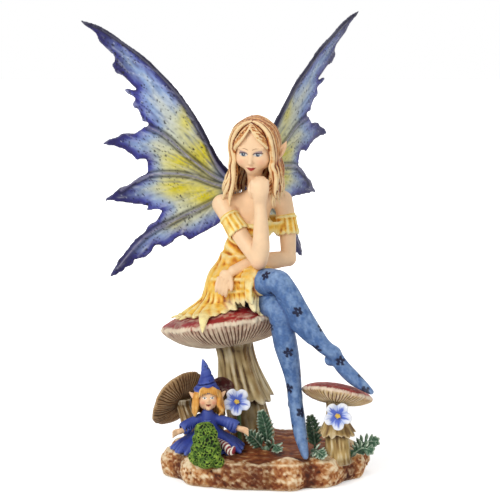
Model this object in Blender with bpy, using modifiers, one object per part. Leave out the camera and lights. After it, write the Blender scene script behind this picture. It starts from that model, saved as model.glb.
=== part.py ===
# A seated fairy figurine, cast in resin as separate pieces that are glued together and painted.
# Blender works here in metres with +Z up. The sizes below are in millimetres, and the viewer stands at -Y.
# Places are measured from under the middle of the large cap's stem, on the ground. The last step moves the
# origin to the centre of the rock base's flat underside.
import math

import bmesh
import bpy
from mathutils import Euler, Matrix, Vector, noise

mm = 0.001

# Glue lines
glue_gap = 0.5

# Rock base
base_width = 89.0
base_depth = 61.0
base_height = 12.0
base_middle_y = -11.0
base_rim_rise = 1.6
base_lobes = 10

# Large toadstool: its foot, its neck under the cap, and the centre of the cap's rim
large_foot_x = -4.5
large_foot_y = 3.0
large_foot_radius = 9.6
large_neck_radius = 7.8
large_frill_radius = 11.4
large_cap_x = -15.0
large_cap_y = 2.0
large_cap_height = 62.0
large_cap_radius = 29.5
large_cap_dome = 7.2
large_cap_depth = 9.5
large_cap_lean_right = 9.0
large_cap_lean_back = 10.0

# Small toadstool, under the raised foot
small_foot_x = base_width / 2 - 14.0
small_foot_y = -25.0
small_foot_radius = 5.4
small_neck_radius = 3.6
small_frill_radius = 7.2
small_cap_x = small_foot_x - 0.9
small_cap_y = -23.0
small_cap_height = 37.0
small_cap_radius = 14.8
small_cap_dome = 4.6
small_cap_depth = 3.6
small_cap_lean_right = -10.0
small_cap_lean_back = 20.0

# Toadstool that lies back behind the pixie, and the little dark one
leaning_cap_radius = 14.0
leaning_neck_radius = 3.2
dark_cap_radius = 4.2
dark_neck_radius = 1.5
dark_height = 38.0

# Fairy
head_width = 16.6
head_depth = 18.6
head_height = 23.0
hair_thickness = 2.6
neck_radius = 3.1
upper_arm_radius = 4.0
forearm_radius = 3.5
wrist_radius = 2.7
thigh_radius = 7.2
knee_radius = 5.3
calf_radius = 4.4
ankle_radius = 3.1
foot_radius = 3.2
skirt_reach = 24.5

# Wings
wing_thickness = 1.8
wing_rib_radius = 1.25
wing_scale = 1.0

# Pixie doll
pixie_head_width = 9.4
pixie_hat_height = 13.0
pixie_skirt_reach = 13.0

# Plants
flower_radius = 6.3
flower_stalk_radius = 0.9
fern_leaf_length = 4.6
moss_height = 18.0

# How many sides the rings of the toadstools have
large_sides = 40
small_sides = 18

colours = {
    "base": (0.42, 0.22, 0.10), "large_toadstool": (0.52, 0.38, 0.26), "small_toadstool": (0.50, 0.30, 0.16),
    "leaning_toadstool": (0.36, 0.24, 0.14), "dark_toadstool": (0.13, 0.03, 0.03), "fairy": (0.90, 0.66, 0.30),
    "right_wing": (0.30, 0.30, 0.62), "left_wing": (0.30, 0.30, 0.62), "pixie": (0.13, 0.16, 0.50),
    "moss": (0.16, 0.30, 0.05), "left_flower": (0.55, 0.66, 0.92), "right_flower": (0.62, 0.74, 0.95),
    "fern_by_pixie": (0.07, 0.14, 0.08), "fern_by_foot": (0.05, 0.10, 0.06), "fern_by_edge": (0.10, 0.20, 0.10),
}


def clear_scene():
    for obj in list(bpy.data.objects):
        bpy.data.objects.remove(obj)


def collection(name):
    made = bpy.data.collections.new(name)
    bpy.context.scene.collection.children.link(made)
    return made


def paint(name):
    """The piece's own material."""
    made = bpy.data.materials.new(name)
    made.use_nodes = True
    shader = made.node_tree.nodes["Principled BSDF"]
    shader.inputs["Base Color"].default_value = (*colours[name], 1.0)
    shader.inputs["Roughness"].default_value = 0.55
    shader.inputs["Metallic"].default_value = 0.0
    return made


def smooth_path(rows, steps=4):
    """A Catmull-Rom curve through rows of numbers, such as x, y, z and radius."""
    rows = [tuple(rows[0]), *map(tuple, rows), tuple(rows[-1])]
    path = []
    for a, b, c, d in zip(rows, rows[1:], rows[2:], rows[3:]):
        for step in range(steps):
            t = step / steps
            path.append([
                0.5 * (2 * q + (r - p) * t + (2 * p - 5 * q + 4 * r - s) * t**2 + (3 * q - p - 3 * r + s) * t**3)
                for p, q, r, s in zip(a, b, c, d)
            ])
    path.append(list(rows[-1]))
    return path


def moved(rows, offset):
    """Rows of x, y, z, ... carried by an offset."""
    return [(x + offset[0], y + offset[1], z + offset[2], *rest) for x, y, z, *rest in rows]


class Clay:
    """The closed shapes of one casting before they are melted together."""

    def __init__(self):
        self.mesh = bmesh.new()
        self.limbs = bpy.data.curves.new("limbs", "CURVE")
        self.limbs.dimensions = "3D"
        self.limbs.bevel_depth = mm
        self.limbs.bevel_resolution = 3
        self.limbs.use_fill_caps = True


def add_ball(clay, centre, radii, turn=(0, 0, 0), detail=12):
    """An ellipsoid, turned by degrees about X, Y and Z."""
    turned = Euler([math.radians(a) for a in turn]).to_matrix().to_4x4()
    placed = Matrix.Translation(Vector(centre) * mm) @ turned @ Matrix.Diagonal((*[r * mm for r in radii], 1.0))
    bmesh.ops.create_uvsphere(clay.mesh, u_segments=detail * 2, v_segments=detail, radius=1.0, matrix=placed)


def add_tube(clay, rows, steps=4, round_ends=True):
    """A tapered tube with rounded ends through rows of x, y, z, radius."""
    path = smooth_path(rows, steps)
    spline = clay.limbs.splines.new("POLY")
    spline.points.add(len(path) - 1)
    for point, (x, y, z, radius) in zip(spline.points, path):
        point.co = (x * mm, y * mm, z * mm, 1.0)
        point.radius = radius
    if round_ends:
        for x, y, z, radius in (rows[0], rows[-1]):
            add_ball(clay, (x, y, z), (radius,) * 3, detail=6)


def add_loft(clay, rings):
    """A closed skin over rings of points, in millimetres, with a fan at each end."""
    mesh = clay.mesh
    rows = [[mesh.verts.new(Vector(p) * mm) for p in ring] for ring in rings]
    for low, high in zip(rows, rows[1:]):
        for i in range(len(low)):
            j = (i + 1) % len(low)
            mesh.faces.new((low[i], low[j], high[j], high[i]))
    for ring, flip in ((rows[0], True), (rows[-1], False)):
        centre = mesh.verts.new(sum((v.co for v in ring), Vector()) / len(ring))
        for i in range(len(ring)):
            pair = (ring[i], ring[(i + 1) % len(ring)])
            mesh.faces.new((*(pair[::-1] if flip else pair), centre))


def mesh_of(curve):
    """The curve's own surface, as a mesh."""
    holder = bpy.data.objects.new("curve", curve)
    bpy.context.scene.collection.objects.link(holder)
    graph = bpy.context.evaluated_depsgraph_get()
    mesh = bpy.data.meshes.new_from_object(holder.evaluated_get(graph))
    bpy.data.objects.remove(holder)
    return mesh


def object_from(clay, name):
    """One object from all the clay's shapes."""
    if clay.limbs.splines:
        clay.mesh.from_mesh(mesh_of(clay.limbs))
    bmesh.ops.remove_doubles(clay.mesh, verts=clay.mesh.verts, dist=0.0005 * mm)
    mesh = bpy.data.meshes.new(name)
    bmesh.ops.recalc_face_normals(clay.mesh, faces=clay.mesh.faces)
    clay.mesh.to_mesh(mesh)
    clay.mesh.free()
    obj = bpy.data.objects.new(name, mesh)
    figurine.objects.link(obj)
    return obj


def settle(obj):
    """Makes the shape that the modifiers give into the object's own mesh."""
    graph = bpy.context.evaluated_depsgraph_get()
    mesh = bpy.data.meshes.new_from_object(obj.evaluated_get(graph))
    obj.modifiers.clear()
    obj.data = mesh


def remesh(obj, voxel, smoothing=0):
    """Melts overlapping shapes into one skin."""
    skin = obj.modifiers.new("skin", "REMESH")
    skin.mode = "VOXEL"
    skin.voxel_size = voxel * mm
    if smoothing:
        soften = obj.modifiers.new("soften", "SMOOTH")
        soften.factor = 0.5
        soften.iterations = smoothing
    settle(obj)


def clear_of(obj, neighbours):
    """Cuts the object back so that a glue line is left to each neighbour."""
    for neighbour in neighbours:
        cutter = bpy.data.objects.new("around_" + neighbour.name, neighbour.data.copy())
        cutters.objects.link(cutter)
        cutter.hide_render = True
        cutter.display_type = "WIRE"
        swell = cutter.modifiers.new("swell", "DISPLACE")
        swell.mid_level = 0.0
        swell.strength = glue_gap * mm
        cut = obj.modifiers.new(cutter.name, "BOOLEAN")
        cut.operation = "DIFFERENCE"
        cut.object = cutter
        settle(obj)


def keep_largest(obj):
    """Drops the crumbs that a cut leaves."""
    clay = bmesh.new()
    clay.from_mesh(obj.data)
    left = set(clay.verts)
    islands = []
    while left:
        island, edge = set(), [left.pop()]
        while edge:
            vert = edge.pop()
            island.add(vert)
            near = {e.other_vert(vert) for e in vert.link_edges} & left
            left -= near
            edge.extend(near)
        islands.append(island)
    biggest = max(islands, key=len)
    bmesh.ops.delete(clay, geom=[v for v in clay.verts if v not in biggest], context="VERTS")
    clay.to_mesh(obj.data)
    clay.free()


def thin_out(obj, triangles):
    """Leaves about this many triangles."""
    faces = sum(len(p.vertices) - 2 for p in obj.data.polygons)
    if faces > triangles:
        fewer = obj.modifiers.new("fewer", "DECIMATE")
        fewer.ratio = triangles / faces
        fewer.use_collapse_triangulate = True
        settle(obj)


def finish(obj):
    obj.data.materials.clear()
    obj.data.materials.append(paint(obj.name))
    obj.data.shade_smooth()
    obj.data.set_sharp_from_angle(angle=math.radians(50))
    return obj


def cast(clay, name, voxel, triangles, smoothing=2, neighbours=(), small=False):
    """One organic casting: melted together, cut back from its neighbours, and thinned out.

    A small piece is melted once more after the cuts, which closes slits finer than its skin.
    """
    obj = object_from(clay, name)
    remesh(obj, voxel, smoothing)
    thin_out(obj, triangles * 2)
    clear_of(obj, neighbours)
    if small:
        remesh(obj, voxel)
    keep_largest(obj)
    thin_out(obj, triangles)
    return finish(obj)


# Rock base


def lobe(angle):
    """0 in a crease between two boulders of the rim, 1 on a boulder's belly."""
    warped = angle + 0.22 * math.sin(2 * angle + 1.0) + 0.10 * math.sin(5 * angle)
    return abs(math.sin(warped * base_lobes / 2)) ** 0.6


def make_base():
    # Each row is a share of the radius and of the height, and how much of the rim's rise it has
    profile = ((0.90, 0.0, 0), (0.97, 0.10, 0), (1.0, 0.40, 0), (0.985, 0.70, 0.3), (0.93, 0.92, 0.8),
               (0.84, 1.0, 1.0), (0.72, 0.98, 0.3), (0.50, 1.0, 0), (0.25, 1.02, 0))
    count = 60
    rings = []
    for share, height, rise in profile:
        ring = []
        for i in range(count):
            angle = 2 * math.pi * i / count
            bulge = share * (0.945 + 0.055 * lobe(angle)) if share > 0.6 else share
            x = base_width / 2 * bulge * math.cos(angle)
            y = base_depth / 2 * bulge * math.sin(angle) + base_middle_y
            bump = noise.noise(Vector((x, y, 0)) * 0.09)
            z = height * base_height + rise * base_rim_rise * lobe(angle) + (0.9 * bump if height > 0.9 else 0)
            ring.append((x, y, z))
        rings.append(ring)
    clay = Clay()
    add_loft(clay, rings)
    return finish(object_from(clay, "base"))


# Toadstools


def lean(right, back):
    """The direction that a cap's top faces, from how its right side and its front are lifted."""
    return Vector((-math.tan(math.radians(right)), math.tan(math.radians(back)), 1.0)).normalized()


def across(direction):
    """Two directions square to this one, the first as near +X as can be."""
    side = Vector((1, 0, 0)) - direction * direction.x
    side.normalize()
    return side, direction.cross(side)


def ring_at(centre, direction, radius, count, ripple=None, wave=None):
    """A ring of points round a centre; ripple scales the radius and wave lifts the point, by its angle."""
    count = round(count)
    side, other = across(direction)
    ring = []
    for i in range(count):
        angle = 2 * math.pi * i / count
        reach = radius * (ripple(angle) if ripple else 1.0)
        lift = wave(angle) if wave else 0.0
        out = side * math.cos(angle) + other * math.sin(angle)
        ring.append(Vector(centre) + out * reach + direction * lift)
    return ring


def toadstool_rings(foot, cap, facing, neck_radius, foot_radius, frill_radius, cap_radius, dome, depth, count):
    """Rings up the stem, over the frill, out under the gills, round the rim and over the top."""
    foot, cap, count = Vector(foot), Vector(cap), round(count)
    neck = cap - facing * depth
    flutes = lambda a: 1 + 0.05 * math.cos(count // 4 * a)
    ragged = lambda a: 1 + 0.08 * math.sin(5 * a + 1) + 0.05 * math.sin(9 * a)
    wavy = lambda a: 1 + 0.03 * math.sin(3 * a + 0.7) + 0.02 * math.sin(5 * a)
    # Share of the way up the stem, radius, and whether the frill's ragged edge is there
    stem = ((0.0, foot_radius, flutes), (0.28, foot_radius * 0.93, flutes), (0.47, foot_radius * 0.86, flutes),
            (0.50, frill_radius, ragged), (0.56, frill_radius * 0.90, ragged), (0.70, neck_radius * 1.06, flutes),
            (0.94, neck_radius, flutes))
    rings = []
    for share, radius, ripple in stem:
        upright = Vector((0, 0, 1)).lerp(facing, share**3).normalized()
        sag = 0.35 * depth if ripple is ragged and share == 0.50 else 0.0
        rings.append(ring_at(foot.lerp(neck, share) - upright * sag, upright, radius, count, ripple))
    # Gills, rim and top, as shares of the cap's radius and heights above the rim
    gills = lambda size: (lambda a: size * math.cos(count // 2 * a))
    under = ((0.34, -0.98 * depth, 0.012 * cap_radius), (0.62, -0.80 * depth, 0.02 * cap_radius),
             (0.86, -0.42 * depth, 0.018 * cap_radius))
    for share, height, size in under:
        rings.append(ring_at(cap + facing * height, facing, cap_radius * share, count, wavy, gills(size)))
    top = ((0.985, -0.02 * dome), (1.0, 0.16 * dome), (0.93, 0.40 * dome), (0.66, 0.80 * dome), (0.33, 0.98 * dome))
    for share, height in top:
        rings.append(ring_at(cap + facing * height, facing, cap_radius * share, count, wavy))
    return rings


def make_toadstool(name, neighbours, *sizes):
    clay = Clay()
    add_loft(clay, toadstool_rings(*sizes))
    obj = object_from(clay, name)
    clear_of(obj, neighbours)
    keep_largest(obj)
    return finish(obj)


def make_toadstools(base):
    sunk = base_height - 2.5
    large = make_toadstool(
        "large_toadstool", [base], (large_foot_x, large_foot_y, sunk), (large_cap_x, large_cap_y, large_cap_height),
        lean(large_cap_lean_right, large_cap_lean_back), large_neck_radius, large_foot_radius, large_frill_radius,
        large_cap_radius, large_cap_dome, large_cap_depth, large_sides)
    small = make_toadstool(
        "small_toadstool", [base], (small_foot_x, small_foot_y, sunk), (small_cap_x, small_cap_y, small_cap_height),
        lean(small_cap_lean_right, small_cap_lean_back), small_neck_radius, small_foot_radius, small_frill_radius,
        small_cap_radius, small_cap_dome, small_cap_depth, small_sides)
    leaning = make_toadstool(
        "leaning_toadstool", [base], (-29.0, -3.0, sunk), (-36.5, -1.0, base_height + leaning_cap_radius + 3.5),
        Vector((-0.62, 0.62, 0.46)).normalized(), leaning_neck_radius, leaning_neck_radius * 1.3,
        leaning_neck_radius * 1.2, leaning_cap_radius, 3.6, 3.2, small_sides)
    dark = make_toadstool(
        "dark_toadstool", [base, large], (-19.5, -9.0, sunk), (-18.8, -8.0, dark_height - 3.0), lean(5.0, 5.0),
        dark_neck_radius, dark_neck_radius * 1.2, dark_neck_radius * 1.15, dark_cap_radius, 3.0, 1.4, 12)
    return large, small, leaning, dark


# Fairy. Her rows of x, y, z, radius are measured from the seat, the top of the large cap.


def fairy_seat():
    return Vector((large_cap_x, large_cap_y, large_cap_height + large_cap_dome))


def add_fairy_body(clay, seat):
    torso = (
        ((2.0, -3.0, 9.0), (10.5, 9.5, 9.0)), ((3.0, -3.5, 16.0), (8.2, 7.2, 7.5)), ((4.5, -4.5, 25.0), (6.6, 5.6, 7.0)),
        ((7.5, -5.2, 34.0), (8.0, 6.4, 7.5)), ((9.5, -4.8, 41.0), (8.6, 5.4, 6.5)),
    )
    for centre, radii in torso:
        add_ball(clay, seat + Vector(centre), radii, (0, 0, 25))
    for side_x, side_y in ((4.6, -10.6), (11.4, -9.0)):
        add_ball(clay, seat + Vector((side_x, side_y, 35.0)), (3.7, 3.4, 3.6))
    add_tube(clay, moved([(-2.5, -8.0, 44.5, 4.2), (10.0, -4.5, 47.0, 4.3), (22.5, 0.5, 45.5, 4.1)], seat))
    add_tube(clay, moved([(10.5, -4.5, 46.0, neck_radius * 1.25), (10.8, -7.5, 58.0, neck_radius)], seat))


def add_fairy_arms(clay, seat):
    # Her right arm stands on her knee and holds her chin; her left one lies across her lap
    right = [(-3.0, -8.5, 45.0, upper_arm_radius), (2.0, -13.0, 37.5, upper_arm_radius),
             (13.6, -24.5, 22.5, forearm_radius), (14.4, -25.0, 30.0, forearm_radius * 1.12),
             (14.0, -22.5, 41.0, forearm_radius * 0.95), (13.2, -20.5, 48.5, wrist_radius)]
    left = [(22.6, 0.5, 45.5, upper_arm_radius), (24.0, -1.0, 34.0, upper_arm_radius * 0.95),
            (24.6, -5.5, 21.5, forearm_radius), (12.0, -13.5, 21.5, forearm_radius),
            (1.5, -18.0, 18.5, wrist_radius)]
    for rows in (right, left):
        add_tube(clay, moved(rows, seat))
    add_ball(clay, seat + Vector((13.4, -20.6, 53.0)), (4.0, 3.4, 4.2), (0, 8, -20))
    for finger in range(4):
        across_hand = -2.4 + 1.6 * finger
        add_tube(clay, moved([(13.0 + across_hand, -22.8, 54.5, 1.0), (13.2 + across_hand, -20.4, 57.4, 1.1)], seat))
        reach = 1.15 * finger
        add_tube(clay, moved([(-1.5 - reach, -19.6 + reach * 0.4, 14.5, 1.1),
                              (-3.2 - reach * 0.8, -20.0, 8.5 + reach * 0.3, 0.9)], seat))
    add_ball(clay, seat + Vector((-2.2, -18.8, 15.2)), (2.6, 2.0, 3.6), (0, 25, 20))


def add_fairy_legs(clay, seat):
    toe_top = base_height + 2.6
    left = [*moved([(6.0, 0.0, 8.0, thigh_radius), (14.0, -17.0, 6.5, thigh_radius * 0.85),
                    (20.2, -28.5, 5.5, knee_radius * 0.95), (21.5, -27.0, -4.0, calf_radius * 1.05)], seat),
            (9.8, -24.0, 0.42 * seat.z + 23, calf_radius), (12.0, -23.0, toe_top + 22, ankle_radius),
            (14.6, -28.5, toe_top + 8, foot_radius), (16.4, -33.0, toe_top, foot_radius * 0.55)]
    # The raised foot lies on the small cap
    sole = Vector((small_cap_x, small_cap_y, small_cap_height + small_cap_dome))
    right = [*moved([(-2.0, -3.0, 10.0, thigh_radius), (9.0, -15.5, 13.5, thigh_radius * 0.9),
                     (20.0, -28.5, 17.0, knee_radius), (27.0, -30.5, 8.0, calf_radius)], seat),
             (21.0, -31.5, 0.5 * (seat.z + sole.z) + 10, calf_radius * 0.92),
             *moved([(-1.4, -8.5, 15.6, ankle_radius), (6.8, -8.6, 4.2, foot_radius),
                     (14.0, -11.0, -0.4, foot_radius * 0.5)], sole)]
    for rows in (left, right):
        add_tube(clay, rows)
    add_ball(clay, sole + Vector((-3.0, -6.4, 11.8)), (2.6, 3.0, 2.8))
    add_ball(clay, (12.2, -19.8, toe_top + 18), (2.6, 2.8, 3.0))


def head_frame(seat):
    """The head's centre, and the directions to its front, its left and its top."""
    centre = seat + Vector((10.6, -9.4, 68.9))
    front = Vector((-0.22, -0.96, -0.16)).normalized()
    left = Vector((0, 0, 1)).cross(front).normalized() * -1
    return centre, front, left, front.cross(left) * -1


def add_fairy_head(clay, seat):
    centre, front, left, top = head_frame(seat)
    half = Vector((head_width, head_depth, head_height)) / 2
    add_ball(clay, centre + top * 2.2, (half.x, half.y, half.z * 0.78), (8, 0, -13))
    add_ball(clay, centre - top * 4.6 + front * 2.4, (half.x * 0.72, half.y * 0.66, half.z * 0.62), (8, 0, -13))
    add_ball(clay, centre - top * 1.6 + front * (half.y + 0.2), (1.0, 1.0, 1.6))
    ear = centre + left * (half.x + hair_thickness) - front * 1.0
    add_tube(clay, [(*ear, 1.6), (*(ear + left * 2.4 + top * 3.2 - front * 1.0), 0.5)])


def add_fairy_hair(clay, seat):
    centre, front, left, top = head_frame(seat)
    half = Vector((head_width, head_depth, head_height)) / 2
    thick = hair_thickness
    add_ball(clay, centre + top * 2.4 - front * 2.6, (half.x + thick, half.y + thick * 0.5, half.z * 0.78 + thick),
             (8, 0, -13))
    locks = 15
    for i in range(locks):
        turn = math.radians(60 + 240 * i / (locks - 1))
        out = front * math.cos(turn) + left * math.sin(turn)
        wide = half.x + thick * 0.7 + (1.2 if math.cos(turn) < 0 else 0.0)
        length = 27 + 4 * math.sin(7.3 * i) - 5 * max(0.0, -math.cos(turn))
        flare = 1.0 + 0.10 * math.sin(5.1 * i + 1)
        rows = [(centre + top * (half.z * 0.98) + front * 3.0 * math.cos(turn), 1.6),
                (centre + top * (half.z * 0.62) + out * wide * 0.80, 2.6),
                (centre + out * wide, 2.7),
                (centre - top * 9 + out * wide * 0.98, 2.5),
                (centre - top * 17 + out * wide * flare, 2.0),
                (centre - top * length + out * wide * flare * 1.1, 0.6)]
        add_tube(clay, [(*point, radius) for point, radius in rows])
    # The side fringe sweeps from the parting over the brow
    for share in (0.0, 0.5, 1.0):
        rows = [(centre + top * (half.z * 0.95) + front * 4.5, 1.5),
                (centre + top * (half.z * 0.72) + front * (7.4 - share) - left * (3.0 + share), 1.9),
                (centre + top * (half.z * 0.30) + front * (5.6 - 1.5 * share) - left * (6.8 + share), 1.8),
                (centre - top * 3.0 + front * 2.5 - left * (half.x + thick * 0.6), 1.4)]
        add_tube(clay, [(*point, radius) for point, radius in rows])


def skirt_radius(angle):
    """How far the ragged hem lies from the seat; angle 0 is +X and -90 degrees is the front."""
    ahead = max(0.0, math.cos(angle + math.radians(38)))
    reach = skirt_reach * (1 - 0.42 * ahead**0.7)
    return reach * (1 + 0.07 * abs(math.sin(6.5 * angle)) - 0.04 * math.cos(3 * angle))


def add_dress(clay, seat):
    facing = lean(large_cap_lean_right, large_cap_lean_back)
    side, other = across(facing)
    rows = []
    count = 44
    for share, centre, radius, fold in (
            (0, (4.2, -4.2, 24.0), 7.8, 0.02), (0, (3.0, -3.6, 16.0), 10.0, 0.04), (0, (1.6, -2.6, 9.0), 11.6, 0.06),
            (0.35, (0.0, -1.0, 5.5), 12.6, 0.07), (0.72, (0, 0, 0), 0, 0.06), (0.98, (0, 0, 0), 0, 0.05),
            (1.0, (0, 0, 0), 0, 0.03)):
        ring = []
        for i in range(count):
            angle = 2 * math.pi * i / count
            pleat = 1 + fold * math.sin(11 * angle + 0.8 * math.sin(2 * angle))
            drape = seat + Vector(centre) + Vector((math.cos(angle), math.sin(angle), 0)) * radius * pleat
            reach = skirt_radius(angle) * max(share, 0.55)
            drop = large_cap_dome * (reach / large_cap_radius) ** 2.2
            lift = 1.5 + 8.0 * max(0.0, 0.98 - share) - 3.2 * (share == 1.0)
            lying = seat + (side * math.cos(angle) + other * math.sin(angle)) * reach * pleat + facing * (lift - drop)
            ring.append(drape.lerp(lying, min(1.0, share * 1.4)))
        rows.append(ring)
    add_loft(clay, rows)
    # Bodice and its turned-down edge
    add_ball(clay, seat + Vector((5.2, -4.8, 28.0)), (7.4, 6.5, 6.4), (0, 0, 25))
    add_ball(clay, seat + Vector((8.0, -6.0, 35.0)), (9.0, 7.4, 3.4), (0, 10, 20))
    # The ruffle that runs from sleeve to sleeve, over the bust and behind her back
    add_tube(clay, moved([(1.0, -13.4, 36.2, 1.9), (4.4, -14.6, 35.6, 1.9), (12.4, -12.5, 35.0, 1.9), (17.4, -8.4, 34.9, 1.9),
                          (22.6, -4.0, 35.0, 1.8)], seat))
    add_tube(clay, moved([(-1.6, -5.8, 37.2, 1.8), (1.5, 0.4, 36.4, 1.8), (9.0, 2.9, 36.0, 1.8), (17.0, 4.1, 35.8, 1.8),
                          (23.0, 3.4, 35.6, 1.8)], seat))
    # Off-shoulder sleeves
    add_tube(clay, moved([(0.0, -11.4, 39.8, 4.7), (3.4, -14.6, 34.8, 5.4)], seat), round_ends=False)
    add_tube(clay, moved([(23.6, -0.4, 39.5, 4.7), (24.3, -1.6, 32.0, 5.6)], seat), round_ends=False)
    # The skirt over her crossed thigh ends in leaf-shaped points
    hip, knee_end = Vector((-1.0, -4.0, 10.5)), Vector((12.0, -18.6, 14.4))
    add_tube(clay, moved([(*hip, thigh_radius * 1.22), (*knee_end, thigh_radius * 0.96)], seat))
    along = (knee_end - hip).normalized()
    top = (Vector((0, 0, 1)) - along * along.z).normalized()
    forward = along.cross(top)
    for i in range(6):
        turn = math.radians(-10 + 30 * i)
        start = knee_end + (top * math.cos(turn) + forward * math.sin(turn)) * thigh_radius * 0.86 - along * 0.6 * i
        tip = start + along * 1.6 + Vector((0, -0.6, -4.2 - 0.5 * (i % 2)))
        middle = (start + tip) / 2 + Vector((0, -0.6, 0.3))
        add_tube(clay, moved([(*start, 1.9), (*middle, 1.6), (*tip, 0.4)], seat))


def make_fairy(neighbours):
    seat = fairy_seat()
    clay = Clay()
    add_fairy_body(clay, seat)
    add_fairy_arms(clay, seat)
    add_fairy_legs(clay, seat)
    add_fairy_head(clay, seat)
    add_fairy_hair(clay, seat)
    add_dress(clay, seat)
    return cast(clay, "fairy", 0.75, 3640, 2, neighbours)


# Wings. The outline's points are outwards and upwards from the root.

wing_outline = (
    (-3.0, 6.5), (1.1, 11.5), (4.8, 18.1), (9.1, 26.4), (14.4, 34.6), (19.8, 41.7), (25.2, 47.2), (30.5, 52.5),
    (36.0, 56.8), (42.3, 61.2), (46.6, 64.2), (52.0, 67.2), (58.9, 69.1), (57.9, 67.5), (52.5, 63.1), (51.5, 59.8),
    (46.6, 56.0), (45.0, 52.7), (46.1, 50.5), (45.0, 47.7), (41.2, 45.6), (38.6, 42.3), (36.4, 40.6), (40.7, 40.4),
    (39.9, 38.4), (37.0, 36.8), (38.0, 34.0), (35.4, 31.3), (33.2, 27.2), (31.3, 25.5), (34.9, 23.2), (36.5, 21.7),
    (40.3, 21.7), (44.0, 20.5), (51.5, 17.0), (48.1, 16.3), (44.0, 15.6), (41.2, 14.7), (39.0, 12.6), (36.7, 10.9),
    (33.1, 10.4), (31.9, 9.3), (31.9, 5.6), (34.2, 3.7), (39.0, 0.4), (43.5, -1.9), (49.7, -7.0), (46.2, -7.4),
    (42.2, -7.7), (36.2, -8.9), (32.1, -9.3), (31.9, -11.2), (25.8, -11.2), (28.1, -14.9), (32.1, -18.7),
    (36.2, -22.9), (40.3, -28.0), (44.4, -33.1), (48.1, -40.3), (44.9, -39.2), (42.2, -37.3), (38.1, -34.5),
    (37.2, -32.7), (34.4, -32.2), (30.8, -29.8), (29.4, -27.5), (27.1, -26.4), (24.4, -26.8), (18.5, -22.6),
    (16.2, -22.4), (14.2, -23.8), (10.8, -21.9), (5.7, -19.1), (0.5, -15.5), (-4.0, -8.6), (-7.0, -3.0), (-7.0, 2.5),
)
wing_ribs = (
    ((-5.0, 1.0), (1.6, 8.2), (8.0, 21.5), (18.0, 37.8), (34.5, 54.5), (50.0, 65.2)),
    ((-5.0, 0.5), (4.0, 4.5), (14.5, 12.5), (24.0, 21.0), (31.0, 24.6)),
    ((-5.0, -0.5), (2.0, 0.4), (12.0, 3.8), (22.0, 5.0), (33.0, 3.4), (43.0, -2.6)),
    ((-5.0, -2.0), (8.0, -9.0), (20.0, -15.0), (33.0, -22.5), (45.0, -36.5)),
)


def make_wing(name, root, outwards, upwards, sag, neighbours):
    """A flat ragged plate with ribs on its front and a boss at its root, cut to fit her back.

    The middle points of the wing hang lower by the sag.
    """
    outwards, upwards = Vector(outwards).normalized(), Vector(upwards).normalized()
    front = outwards.cross(upwards).normalized()
    if front.y > 0:
        front.negate()
    hang = lambda u, v: v - sag * u / 50 * math.exp(-((v + 4) / 24)**2)
    place = lambda u, v, out=0.0: Vector(root) + (outwards * u + upwards * hang(u, v)) * wing_scale + front * out
    half = wing_thickness / 2
    outline = bpy.data.curves.new(name, "CURVE")
    outline.dimensions = "2D"
    outline.fill_mode = "BOTH"
    outline.extrude = half * mm
    edge = outline.splines.new("POLY")
    edge.points.add(len(wing_outline) - 1)
    edge.use_cyclic_u = True
    for point, (u, v) in zip(edge.points, wing_outline):
        point.co = (u * wing_scale * mm, hang(u, v) * wing_scale * mm, 0.0, 1.0)
    plate = mesh_of(outline)
    plate.transform(Matrix.Translation(Vector(root) * mm) @ Matrix((outwards, upwards, front)).transposed().to_4x4())
    clay = Clay()
    clay.mesh.from_mesh(plate)
    for rib in wing_ribs:
        rows = [(*place(u, v, half * 0.6), wing_rib_radius * (1 - 0.6 * i / len(rib))) for i, (u, v) in enumerate(rib)]
        add_tube(clay, rows, steps=2)
    add_ball(clay, place(-6.0, 0.0, 0.5), (2.6, 3.4, 5.5), detail=8)
    return cast(clay, name, 0.6, 820, 1, neighbours)


# Pixie doll


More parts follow.
